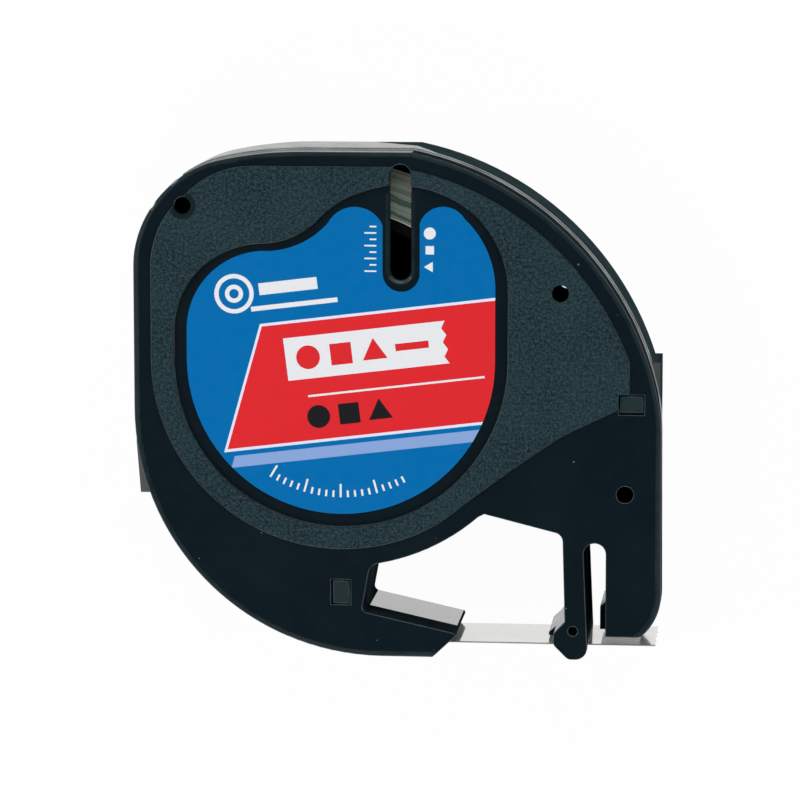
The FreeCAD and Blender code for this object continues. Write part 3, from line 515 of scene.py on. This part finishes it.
# small rounds on the edges where level faces meet upright ones; the new faces are returned
def roundEdges(bm, levels):
    chosen = []
    for edge in bm.edges:
        if (len(edge.link_faces) != 2
                or edge.calc_face_angle(0) < math.radians(casing["edgeAngle"])):
            continue
        leans = sorted(abs(face.normal.z) for face in edge.link_faces)
        start, end = (vert.co.z / mm for vert in edge.verts)
        if leans[0] > lean["upright"] or leans[1] < lean["flat"]:
            continue
        if abs(start - end) <= casing["near"] / 2 and any(near(start, level) for level in levels):
            chosen.append(edge)
    return bmesh.ops.bevel(bm, geom=chosen, offset=casing["edge"] * mm, offset_type="OFFSET",
                           segments=casing["edgeSteps"], profile=0.5, affect="EDGES",
                           clamp_overlap=False, material=-1)["faces"]


# how much of the ledge a place has: all of it on the crown, fading down the sides
def ledgeShare(place):
    x, y = place.x / mm, place.y / mm
    if x < 0:
        return climb(y, casing["ledgeLeft"])
    lower = casing["ledgeLower"]
    lower += (1 - lower) * climb(y, casing["ledgeStep"])
    return lower * climb(y, casing["ledgeRight"])


def spot(vert):
    return round(vert.co.x / mm, 2), round(vert.co.y / mm, 2)


def levelWay(face):
    return Vector((face.normal.x, face.normal.y, 0)).normalized()


# the outer outline's corners, each with its wall's direction, from where the wall meets the rim
def outlineSpots(bm, turn):
    spots = {}
    for face in bm.faces:
        heights = [vert.co.z / mm for vert in face.verts]
        touches = near(min(heights), turn) or near(max(heights), turn)
        if touches and lies(abs(face.normal.z), lean["rim"]):
            for vert in face.verts:
                if near(vert.co.z / mm, turn):
                    spots.setdefault(spot(vert), Vector()).xyz += levelWay(face)
    return {key: way.normalized() for key, way in spots.items()}


# the round rim's own corners above the wall, each with its direction
def rimWays(bm, spots, turn):
    leaning = [face for face in bm.faces if lies(face.normal.z, lean["round"])]
    fresh = [face for face in leaning if any(
        spot(vert) in spots and near(vert.co.z / mm, turn) for vert in face.verts)]
    rim = set(fresh)
    while fresh:
        for edge in fresh.pop().edges:
            for face in edge.link_faces:
                if face not in rim and lies(face.normal.z, lean["round"]):
                    rim.add(face)
                    fresh.append(face)
    ways = {}
    for face in leaning:
        for vert in face.verts:
            if face in rim and vert.co.z / mm > turn + casing["near"]:
                ways.setdefault(vert, Vector()).xyz += levelWay(face)
    return ways


# the given faces are cut in two along a plane
def cutFaces(bm, faces, place, across):
    parts = dict.fromkeys(item for face in faces for item in [*face.verts, *face.edges, face])
    bmesh.ops.bisect_plane(bm, geom=list(parts), plane_co=place, plane_no=across, dist=1e-7)


# the front shell's wall and rim stand back, and leave a small flare at the foot
def stepBack(bm):
    bm.normal_update()
    turn = casing["rimTurn"][1]
    flare = casing["flareTop"]
    top = casing["faceLevel"]
    spots = outlineSpots(bm, turn)
    walls = [face for face in bm.faces if abs(face.normal.z) < lean["wall"]
             and sum(spot(vert) in spots for vert in face.verts) >= 3]
    cutFaces(bm, walls, (0, 0, flare * mm), (0, 0, 1))
    moves = []
    for vert in bm.verts:
        way = spots.get(spot(vert))
        height = vert.co.z / mm
        if way and height < turn + casing["near"]:
            foot = height < flare - casing["flareCut"]
            moves.append((vert, way * (casing["ledge"] if foot else casing["ledgeTop"])))
    for vert, way in rimWays(bm, spots, turn).items():
        share = (top - vert.co.z / mm) / (top - turn)
        moves.append((vert, way.normalized() * casing["ledgeTop"] * share))
    for vert, way in moves:
        vert.co -= way * mm * ledgeShare(vert.co)


# the rear shell's upper edge gets its own small round where the ledge shows, painted pale grey as
# a highlight
def roundLedge(bm, slot):
    bm.normal_update()
    spots = outlineSpots(bm, casing["rimTurn"][0])
    chosen = [edge for edge in bm.edges if len(edge.link_faces) == 2
              and all(near(vert.co.z / mm, casing["parting"]) and spot(vert) in spots
                      and ledgeShare(vert.co) > casing["ledgeLeast"] for vert in edge.verts)
              and edge.calc_face_angle(0) > casing["partingAngle"]]
    made = bmesh.ops.bevel(bm, geom=chosen, offset=casing["partingEdge"] * mm,
                           offset_type="OFFSET", segments=2, profile=0.5, affect="EDGES",
                           clamp_overlap=False, material=-1)
    for face in made["faces"]:
        face.material_index = slot


# the top wall is cut along the slanting line where its gloss ends and its painted shade begins;
# the line's place is returned
def cutGloss(bm):
    start, end = (Vector(corner) * mm for corner in casing["glossEnd"])
    line = end - start
    across = Vector((line.z, 0, -line.x))
    above, left = casing["glossWall"]
    walls = [face for face in bm.faces if face.normal.y > lean["topWall"]
             and face.calc_center_median().y > above * mm
             and abs(face.normal.z) < lean["outer"]
             and min(vert.co.x for vert in face.verts) < left * mm]
    cutFaces(bm, walls, start, across)
    return start, across


# the finish of a face of the front shell, or None where it stays glossy
def frontFace(middle, normal):
    if middle.z > casing["fieldFoot"] * mm:
        return "grain"
    if inBore(middle):
        return "bore"
    # the flare leaning outwards gets the painted highlight
    if lies(normal.z, lean["flare"]) and middle.z < casing["flareTop"] * mm:
        return "paintedHighlight"
    # the gauge surround gets the painted shade, and a glint on its bevel's lower end
    if inGauge(middle):
        end = normal.y > lean["bevelEnd"][0] and normal.z > lean["bevelEnd"][1]
        return "glint" if end else "wall"
    if inNick(middle) and normal.z < lean["nick"]:
        return "glint"
    # the rounded rim gets its painted light
    if lies(normal.z, lean["front"]) and middle.z > casing["rimTurn"][1] * mm:
        return "rim"
    # walls facing right get the painted shade
    if abs(normal.z) < lean["shaded"] and normal.x > lean["shadedRight"]:
        return "wall"
    return None


# the finish of a face of the rear shell, or None where it keeps the one it has
def rearFace(middle, normal, glossEnd):
    start, across = glossEnd
    outer = abs(normal.z) < lean["outer"]
    crown = normal.y > lean["crown"] and middle.y > 0 and (middle - start).dot(across) > 0
    if inBore(middle):
        return "bore"
    if normal.z > lean["level"] and near(middle.z / mm, casing["parting"]):
        return "parting"
    # the snap heads' faces turned up or towards the crown get painted light
    if middle.z > casing["snapLevel"] * mm and max(normal.z, normal.y) > lean["snap"]:
        return "snap"
    # walls facing right, and the crown's top wall beyond the gloss line, get the painted shade
    if outer and (normal.x > lean["sideRight"] or crown):
        return "side"
    if normal.y > lean["armTop"] and onArm(middle):
        return "arm"
    return None


def makeFront(finishes):
    slots = list(finishes)
    bm = mergedCopy("front_shell")
    stepBack(bm)
    bm.normal_update()
    for face in bm.faces:
        role = frontFace(face.calc_center_median(), face.normal)
        if role:
            face.material_index = slots.index(role)
    for face in roundEdges(bm, casing["levels"]["front_shell"]):
        if abs(face.calc_center_median().z / mm - casing["faceLevel"]) < casing["edge"]:
            face.material_index = slots.index("glint")
    bm.normal_update()
    for face in bm.faces:
        if face.calc_center_median().z > casing["fieldFoot"] * mm:
            face.material_index = slots.index("grain")
    shadeEvenly(addPiece("frontCasing", bm, finishes.values(), "casing",
                         ["front_shell"]), meshing["moulded"])


def makeRear(finishes):
    slots = list(finishes)
    bm = mergedCopy("rear_shell")
    roundLedge(bm, slots.index("paintedHighlight"))
    bm.normal_update()
    glossEnd = cutGloss(bm)
    bm.normal_update()
    for face in bm.faces:
        role = rearFace(face.calc_center_median(), face.normal, glossEnd)
        if role:
            face.material_index = slots.index(role)
    for face in roundEdges(bm, casing["levels"]["rear_shell"]):
        if face.calc_center_median().z > casing["snapLevel"] * mm:
            face.material_index = slots.index("glint")
    shadeEvenly(addPiece("rearCasing", bm, finishes.values(), "casing",
                         ["rear_shell"]), meshing["moulded"])


frontFinishes, rearFinishes = casingFinishes()
makeFront(frontFinishes)
makeRear(rearFinishes)
print("casing made")


# label, with places along and across its slanting band, in millimetres from its middle
label = {
    "blue": (0.0, 0.153, 0.434, 1),
    "red": (0.76, 0.024, 0.031, 1),
    "pale": (0.78, 0.82, 0.95, 1),
    "haze": (0.26, 0.40, 0.72, 1),
    "ink": (0.012, 0.012, 0.014, 1),
    "white": (0.86, 0.87, 0.9, 1),
    "middle": (-6.8, 5.65),
    "top": 15.6,
    "bandTurn": 7.0,  # degrees that the band climbs
    "band": (-9.6, 5.4),
    "bandStart": -11.6,
    "bandSlant": 0.42,
    "bandLine": 0.35,
    "stripe": (-12.0, -10.55),
    "stripeStart": 1.2,  # after the band's own start
    "inkHeight": 0.012,
    "inkSink": 0.002,
    "secondInk": 0.7,  # share of the first ink's height at which the second one starts
    "strip": ((3.4, 0.9), 20.5, 5.4),  # place, length and height
    "teeth": (6, 0.55),  # how many the strip's torn end has, and how deep they are
    "bars": [((6.6, -4.0), 22.4, 0.26), ((-4.9, 7.72), 11.0, 0.6), ((-5.4, 10.1), 7.4, 1.5)],
    "rings": ((-12.3, 9.9), [(2.5, 1.95), (1.15, 0.6)]),  # place, outer and inner radii
    "redShapes": ((-4.0, 0.9), 3.0, 4.2),  # place, size and pitch
    "redBar": ((9.2, 0.9), 4.2, 0.9),
    "darkShapes": ((-3.6, -6.7), 2.9, 3.9),
    "arc": {"marks": 20, "start": -121, "pitch": 3.1, "reach": 16.9, "long": 5,
            "length": 0.85, "width": 0.26},
    "gaugeMiddle": 0.75,
    "gaugeMarks": {"marks": 8, "lengths": (1.5, 0.85), "beside": 3.0, "start": 17.0,
                   "pitch": 0.8, "width": 0.2},
    "gaugeShapes": {"shapes": [(3, 90), (4, 45), (36, 45)], "beside": 3.7, "start": 17.6,
                    "pitch": 2.1, "radius": 0.75},
}


# the label's print: a slanting red band with a pale line round it, and a hazy stripe, on blue
def labelFinish():
    finish = Finish("printedLabel", IOR=1.45, Roughness=0.4, Specular_IOR_Level=0.1)
    centre = (label["middle"][0] * mm, label["middle"][1] * mm, 0)
    turn = (0, 0, math.radians(label["bandTurn"]))
    turned = finish.node("Mapping", {"Vector": finish.place, "Location": centre,
                                     "Rotation": turn}, vector_type="TEXTURE").outputs[0]
    along, across, _ = finish.axes(turned)
    slanted = finish.math("SUBTRACT", along, finish.math("MULTIPLY", across, label["bandSlant"]))
    low, high = label["band"]
    line = label["bandLine"]

    def panel(first, second, start):
        rows = finish.between(across, first * mm, second * mm)
        return finish.math("MULTIPLY", rows, finish.math("GREATER_THAN", slanted, start * mm))

    tone = finish.span(finish.noise(700, 2.0), 0.3, 0.7, 0.0, 0.004)
    colour = finish.blend(tone, label["blue"], label["pale"])
    stripe = panel(*label["stripe"], label["bandStart"] + label["stripeStart"])
    colour = finish.blend(stripe, colour, label["haze"])
    outline = panel(low - line, high + line, label["bandStart"] - line)
    colour = finish.blend(outline, colour, label["pale"])
    red = finish.blend(tone, label["red"], label["pale"])
    colour = finish.blend(panel(low, high, label["bandStart"]), colour, red)
    finish.feed("Base Color", colour)
    finish.feed("Normal", finish.bump(finish.noise(2600, 3.0, 0.6), 0.00001, 0.4))
    return finish.material


def inkFinish(name, colour):
    finish = Finish(name, IOR=1.45, Roughness=0.42, Specular_IOR_Level=0.2)
    dots = finish.noise(5000, 1.0)
    worn = tuple(part * 0.95 for part in colour[:3]) + (1,)
    finish.feed("Base Color", finish.blend(finish.span(dots, 0.35, 0.65), colour, worn))
    finish.feed("Normal", finish.bump(dots, 0.000005, 0.4))
    return finish.material


# a place in the frame from one along and across the band
def bandPlace(place):
    along, across = place
    turn = math.radians(label["bandTurn"])
    x = label["middle"][0] + along * math.cos(turn) - across * math.sin(turn)
    y = label["middle"][1] + along * math.sin(turn) + across * math.cos(turn)
    return x, y


# a flat shape is turned and moved to its place
def settle(bm, verts, place, turn, lift=0.0):
    turned = Matrix.Rotation(math.radians(turn), 3, "Z")
    bmesh.ops.rotate(bm, cent=(0, 0, 0), matrix=turned, verts=verts)
    height = label["top"] - label["inkSink"] + lift
    bmesh.ops.translate(bm, vec=(place[0] * mm, place[1] * mm, height * mm), verts=verts)


def bar(bm, place, length, height, turn=0.0, lift=0.0):
    verts = bmesh.ops.create_grid(bm, x_segments=1, y_segments=1, size=0.5)["verts"]
    bmesh.ops.scale(bm, vec=(length * mm, height * mm, 1), verts=verts)
    settle(bm, verts, place, turn, lift)


# a flat shape with equal sides, with a hole in it where one is asked for
def disc(bm, place, radius, sides=36, turn=0.0, hole=0.0, lift=0.0):
    verts = bmesh.ops.create_circle(bm, cap_ends=True, segments=sides, radius=radius * mm)["verts"]
    face = verts[0].link_faces[0]
    settle(bm, verts, place, turn, lift)
    if hole:
        bmesh.ops.inset_individual(bm, faces=[face], thickness=(radius - hole) * mm,
                                   use_even_offset=True)
        bmesh.ops.delete(bm, geom=[face], context="FACES_ONLY")


# a strip with a torn end, from a bar whose right side is divided
def tornStrip(bm, place, length, height, turn, teeth, depth):
    verts = bmesh.ops.create_grid(bm, x_segments=1, y_segments=teeth, size=0.5)["verts"]
    bmesh.ops.scale(bm, vec=(length * mm, height * mm, 1), verts=verts)
    side = sorted((vert for vert in verts if vert.co.x > 0), key=lambda vert: vert.co.y)
    for vert in side[1::2]:
        vert.co.x -= depth * mm
    settle(bm, verts, place, turn)


# a disc, a square and a triangle in a row, as a sample of what is printed
def sampleShapes(bm, place, size, pitch, lift=0.0):
    along, across = place
    turn = label["bandTurn"]
    square = size * 0.9
    disc(bm, bandPlace(place), size / 2, lift=lift)
    bar(bm, bandPlace((along + pitch, across)), square, square, turn, lift=lift)
    disc(bm, bandPlace((along + 2 * pitch, across - size * 0.09)), size * 0.6, 3, turn, lift=lift)


# small marks along the label's lower edge
def arcMarks(bm):
    arc = label["arc"]
    for step in range(arc["marks"]):
        angle = arc["start"] + step * arc["pitch"]
        longer = arc["length"] if step % arc["long"] == 0 else 0.0
        reach = arc["reach"] - longer / 2
        x = label["middle"][0] + reach * math.cos(math.radians(angle))
        y = label["middle"][1] + reach * math.sin(math.radians(angle))
        bar(bm, (x, y), arc["length"] + longer, arc["width"], angle)


# marks to the left of the gauge slot, and shapes to its right
def gaugeMarks(bm):
    marks = label["gaugeMarks"]
    for step in range(marks["marks"]):
        length = marks["lengths"][step % 2]
        x = label["gaugeMiddle"] - marks["beside"] - length / 2
        bar(bm, (x, marks["start"] + step * marks["pitch"]), length, marks["width"])
    shapes = label["gaugeShapes"]
    for step, (sides, turn) in enumerate(shapes["shapes"]):
        place = (label["gaugeMiddle"] + shapes["beside"], shapes["start"] + step * shapes["pitch"])
        disc(bm, place, shapes["radius"], sides, turn)


# flat shapes get their thickness upwards and become a piece
def addInk(name, bm, finish):
    made = bmesh.ops.extrude_face_region(bm, geom=list(bm.faces))
    raised = [item for item in made["geom"] if isinstance(item, bmesh.types.BMVert)]
    bmesh.ops.translate(bm, vec=(0, 0, label["inkHeight"] * mm), verts=raised)
    bmesh.ops.recalc_face_normals(bm, faces=bm.faces)
    addPiece(name, bm, [finish], "casing")


def makeLabel():
    piece = addPiece("faceLabel", mergedCopy("face_label"), [labelFinish()], "casing",
                     ["face_label"])
    shadeEvenly(piece, meshing["crisp"])
    turn = label["bandTurn"]

    white = bmesh.new()
    place, length, height = label["strip"]
    tornStrip(white, bandPlace(place), length, height, turn, *label["teeth"])
    for place, length, height in label["bars"]:
        bar(white, bandPlace(place), length, height, turn)
    place, radii = label["rings"]
    for radius, hole in radii:
        disc(white, bandPlace(place), radius, hole=hole)
    arcMarks(white)
    gaugeMarks(white)
    addInk("labelWhiteInk", white, inkFinish("whiteInk", label["white"]))

    red = bmesh.new()
    lift = label["inkHeight"] * label["secondInk"]
    sampleShapes(red, *label["redShapes"], lift)
    place, length, height = label["redBar"]
    bar(red, bandPlace(place), length, height, turn, lift=lift)
    addInk("labelRedInk", red, inkFinish("redInk", label["red"]))

    dark = bmesh.new()
    sampleShapes(dark, *label["darkShapes"])
    addInk("labelDarkInk", dark, inkFinish("darkInk", label["ink"]))


makeLabel()
print("label made")


# roll of tape, with its lengths and its reaches from the axis in millimetres
winding = {
    "node": "tape_roll",
    "inner": 18.72,
    "turns": 29,
    "steps": 144,
    "stray": 0.05,  # how far a turn may stand back from its neighbours
    "seed": 12,
    "turnShape": [(0.06, 0), (0.88, 0), (0.97, 0.06)],  # share of a turn, and depth there
    "light": (0.27, 0.33, 0.26, 1),
    "warm": (0.27, 0.265, 0.21, 1),
    "warmStart": 21.5,
    "dark": (0.085, 0.12, 0.095, 1),
    "streak": (0.018, 0.06, 0.055, 1),
    "streaks": (19.45, 20.95, 21.35),
    "streakWidth": (0.1, 0.3),
    "streakShare": 0.85,
    "wander": 0.16,
    "edge": (0.5, 0.5, 0.44, 1),
    "edgeWidth": 0.17,
    "layerScale": 9000.0,
    "groupScale": 1500.0,
}


def rollPlace():
    low, high = (Vector(corner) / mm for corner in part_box(winding["node"]))
    middle = (low + high) / 2
    return middle.x, middle.y, (high.x - low.x) / 2, low.z, high.z


# fine rings round the roll's axis, with darker streaks and a pale innermost turn
def windingFinish():
    x, y, outer, _, _ = rollPlace()
    finish = Finish("tapeEdges", IOR=1.45)
    centred = finish.node("Mapping", {"Vector": finish.place, "Location": (x * mm, y * mm, 0)},
                          vector_type="TEXTURE")
    along, across, _ = finish.axes(centred.outputs[0])
    flat = finish.node("CombineXYZ", {0: along, 1: across}).outputs[0]
    reach = finish.node("VectorMath", {0: flat}, operation="LENGTH").outputs["Value"]

    def rings(scale, detail):
        inputs = {"W": reach, "Scale": scale, "Detail": detail}
        return finish.node("TexNoise", inputs, noise_dimensions="1D").outputs["Fac"]

    layers = rings(winding["layerScale"], 2.0)
    groups = finish.math("MULTIPLY", rings(winding["groupScale"], 1.0), 0.6)
    sheen = finish.span(finish.math("ADD", layers, groups), 0.5, 0.95)
    outwards = finish.span(reach, winding["warmStart"] * mm, outer * mm)
    hue = finish.blend(outwards, winding["light"], winding["warm"])
    colour = finish.blend(sheen, winding["dark"], hue)
    wander = winding["wander"]
    smear = finish.span(finish.noise(500, 2.0), 0.3, 0.7, -wander, wander)
    strayed = finish.math("ADD", reach, finish.math("MULTIPLY", smear, mm))
    narrow, wide = winding["streakWidth"]
    band = None
    for place in winding["streaks"]:
        away = finish.math("ABSOLUTE", finish.math("SUBTRACT", strayed, place * mm))
        one = finish.span(away, narrow * mm, wide * mm, winding["streakShare"], 0.0)
        band = one if band is None else finish.math("MAXIMUM", band, one)
    colour = finish.blend(band, colour, winding["streak"])
    inmost = finish.math("LESS_THAN", reach, (winding["inner"] + winding["edgeWidth"]) * mm)
    finish.feed("Base Color", finish.blend(inmost, colour, winding["edge"]))
    finish.feed("Roughness", finish.span(layers, 0.3, 0.7, 0.3, 0.6))
    finish.feed("Normal", finish.bump(layers, 0.00004, 0.6))
    return finish.material


# the roll's section, one small step to each turn, spun round its axis
def makeWinding():
    random.seed(winding["seed"])
    x, y, outer, rear, front = rollPlace()
    pitch = (outer - winding["inner"]) / winding["turns"]
    stands = [random.uniform(0, winding["stray"]) for _ in range(winding["turns"])]
    profile = []
    for level, inward in ((front, -1), (rear, 1)):
        run = []
        for index, stand in enumerate(stands):
            low = winding["inner"] + index * pitch
            height = level + inward * stand
            run += [(low + pitch * share, height + inward * depth)
                    for share, depth in winding["turnShape"]]
        profile += run if inward < 0 else run[::-1]
    bm = bmesh.new()
    verts = [bm.verts.new((reach * mm, 0, height * mm)) for reach, height in profile]
    edges = [bm.edges.new((verts[i], verts[(i + 1) % len(verts)])) for i in range(len(verts))]
    bmesh.ops.spin(bm, geom=verts + edges, cent=(0, 0, 0), axis=(0, 0, 1), angle=math.tau,
                   steps=winding["steps"], use_merge=True, use_duplicate=False)
    bmesh.ops.remove_doubles(bm, verts=bm.verts, dist=1e-7)
    bmesh.ops.recalc_face_normals(bm, faces=bm.faces)
    bmesh.ops.translate(bm, vec=(x * mm, y * mm, 0), verts=bm.verts)
    piece = addPiece("tapeWinding", bm, [windingFinish()], "spool", [winding["node"]])
    shadeSmooth(piece, meshing["crisp"])


makeWinding()
print("roll made")


# straight run of tape, a film on its split liner
tape = {
    "film": (0.97, 0.965, 0.95, 1),
    "filmDull": (0.9, 0.885, 0.85, 1),
    "filmClear": (0.85, 0.03),  # transmission and roughness
    "liner": (0.95, 0.94, 0.91, 1),
    "linerDull": (0.88, 0.86, 0.81, 1),
    "linerClear": (0.7, 0.06),
    "columns": 70,
    "rows": 12,
    "seed": 5,
    "ragged": 0.2,  # how far the torn end may stand back
    "gap": 0.012,  # air between the film and its liner
}


# a clear finish with faint lines drawn along the tape
def filmFinish(name, colour, second, clear, roughness):
    finish = Finish(name, IOR=1.45, Transmission_Weight=clear, Coat_Weight=1.0,
                    Coat_Roughness=0.12)
    drawn = finish.node("Mapping", {"Vector": finish.place, "Scale": (0.05, 1, 1)}).outputs[0]
    lines = finish.noise(420, 2.0, 0.5, drawn)
    finish.feed("Base Color", finish.blend(finish.span(lines, 0.35, 0.7), colour, second))
    finish.feed("Roughness", finish.span(lines, 0.3, 0.7, roughness, roughness + 0.05))
    finish.feed("Normal", finish.bump(lines, 0.000001, 0.15))
    return finish.material


# one straight band of tape in its node's box, with its torn end
def makeBand(name, node, finish, tears):
    low, high = (Vector(corner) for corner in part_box(node))
    gap = tape["gap"] * mm
    bm = bmesh.new()
    bmesh.ops.create_grid(bm, x_segments=tape["columns"], y_segments=tape["rows"], size=0.5)
    end = max(vert.co.x for vert in bm.verts)
    for vert in bm.verts:
        row = round((vert.co.y + 0.5) * tape["rows"])
        torn = tears[row] * mm if vert.co.x > end - 1e-6 else 0.0
        x = low.x + (vert.co.x + 0.5) * (high.x - low.x) - torn
        vert.co = (x, low.y + gap, low.z + (vert.co.y + 0.5) * (high.z - low.z))
    made = bmesh.ops.extrude_face_region(bm, geom=list(bm.faces))
    raised = [item for item in made["geom"] if isinstance(item, bmesh.types.BMVert)]
    bmesh.ops.translate(bm, vec=(0, high.y - low.y - gap, 0), verts=raised)
    bmesh.ops.recalc_face_normals(bm, faces=bm.faces)
    shadeSmooth(addPiece(name, bm, [finish], "tape", [node]), meshing["crisp"])


def makeTape(film, liner):
    random.seed(tape["seed"])
    tears = [random.uniform(0, tape["ragged"]) for _ in range(tape["rows"] + 1)]
    makeBand("tapeFilm", "strip_film", film, tears)
    makeBand("tapeLinerRear", "strip_liner_rear", liner, tears)
    makeBand("tapeLinerFront", "strip_liner_front", liner, tears)


tapeFilm = filmFinish("clearFilm", tape["film"], tape["filmDull"], *tape["filmClear"])
tapeLiner = filmFinish("linerPaper", tape["liner"], tape["linerDull"], *tape["linerClear"])
makeTape(tapeFilm, tapeLiner)
print("tape made")


# inner pieces that keep the frame's shape, with two colours each and the plastics' roughness
inner = {
    "core": ((0.0014, 0.002, 0.0024, 1), (0.003, 0.004, 0.005, 1), 0.5),
    "washer": ((0.78, 0.78, 0.76, 1), (0.7, 0.7, 0.68, 1), 0.35),
    "roller": ((0.74, 0.74, 0.71, 1), (0.66, 0.66, 0.63, 1), 0.35),
    "steel": ((0.5, 0.5, 0.5, 1), (0.66, 0.66, 0.65, 1)),
    "felt": ((0.03, 0.03, 0.032, 1), (0.16, 0.16, 0.16, 1)),
    "plasticScale": 700,
}


def plasticFinish(name, colour, second, roughness, **values):
    finish = Finish(name, IOR=1.47, **values)
    scale = inner["plasticScale"]
    wide = finish.noise(scale, 4.0, 0.55)
    fine = finish.noise(scale * 4, 2.0)
    finish.feed("Base Color", finish.blend(finish.span(wide, 0.3, 0.7), colour, second))
    finish.feed("Roughness", finish.span(fine, 0.3, 0.7, roughness, roughness + 0.12))
    finish.feed("Normal", finish.bump(finish.noise(scale * 6, 3.0), 0.00002, 0.4))
    return finish.material


def metalFinish():
    finish = Finish("rolledSteel", Metallic=1.0)
    drawn = finish.node("Mapping", {"Vector": finish.place, "Scale": (1, 1, 14)}).outputs[0]
    streaks = finish.noise(2200, 4.0, 0.6, drawn)
    finish.feed("Base Color", finish.blend(streaks, *inner["steel"]))
    finish.feed("Roughness", finish.span(streaks, 0.3, 0.7, 0.22, 0.42))
    finish.feed("Normal", finish.bump(streaks, 0.00001, 0.5))
    return finish.material


def feltFinish():
    finish = Finish("feltPad", Roughness=0.95, Sheen_Weight=0.4)
    fibres = finish.noise(5200, 5.0, 0.75)
    finish.feed("Base Color", finish.blend(fibres, *inner["felt"]))
    finish.feed("Normal", finish.bump(fibres, 0.00012, 0.9))
    return finish.material


def dressNodes():
    finishes = {
        "spool_core": plasticFinish("corePlastic", *inner["core"], Specular_IOR_Level=0.06),
        "spool_washer": plasticFinish("washerPlastic", *inner["washer"]),
        "guide_roller": plasticFinish("rollerPlastic", *inner["roller"]),
        "brake_leaf": metalFinish(),
        "exit_felt": feltFinish(),
        "lead_film": tapeFilm,
        "lead_liner_rear": tapeLiner,
        "lead_liner_front": tapeLiner,
    }
    for node, finish in finishes.items():
        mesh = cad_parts[node].data
        mesh.materials.clear()
        mesh.materials.append(finish)


dressNodes()
print("inner pieces dressed")
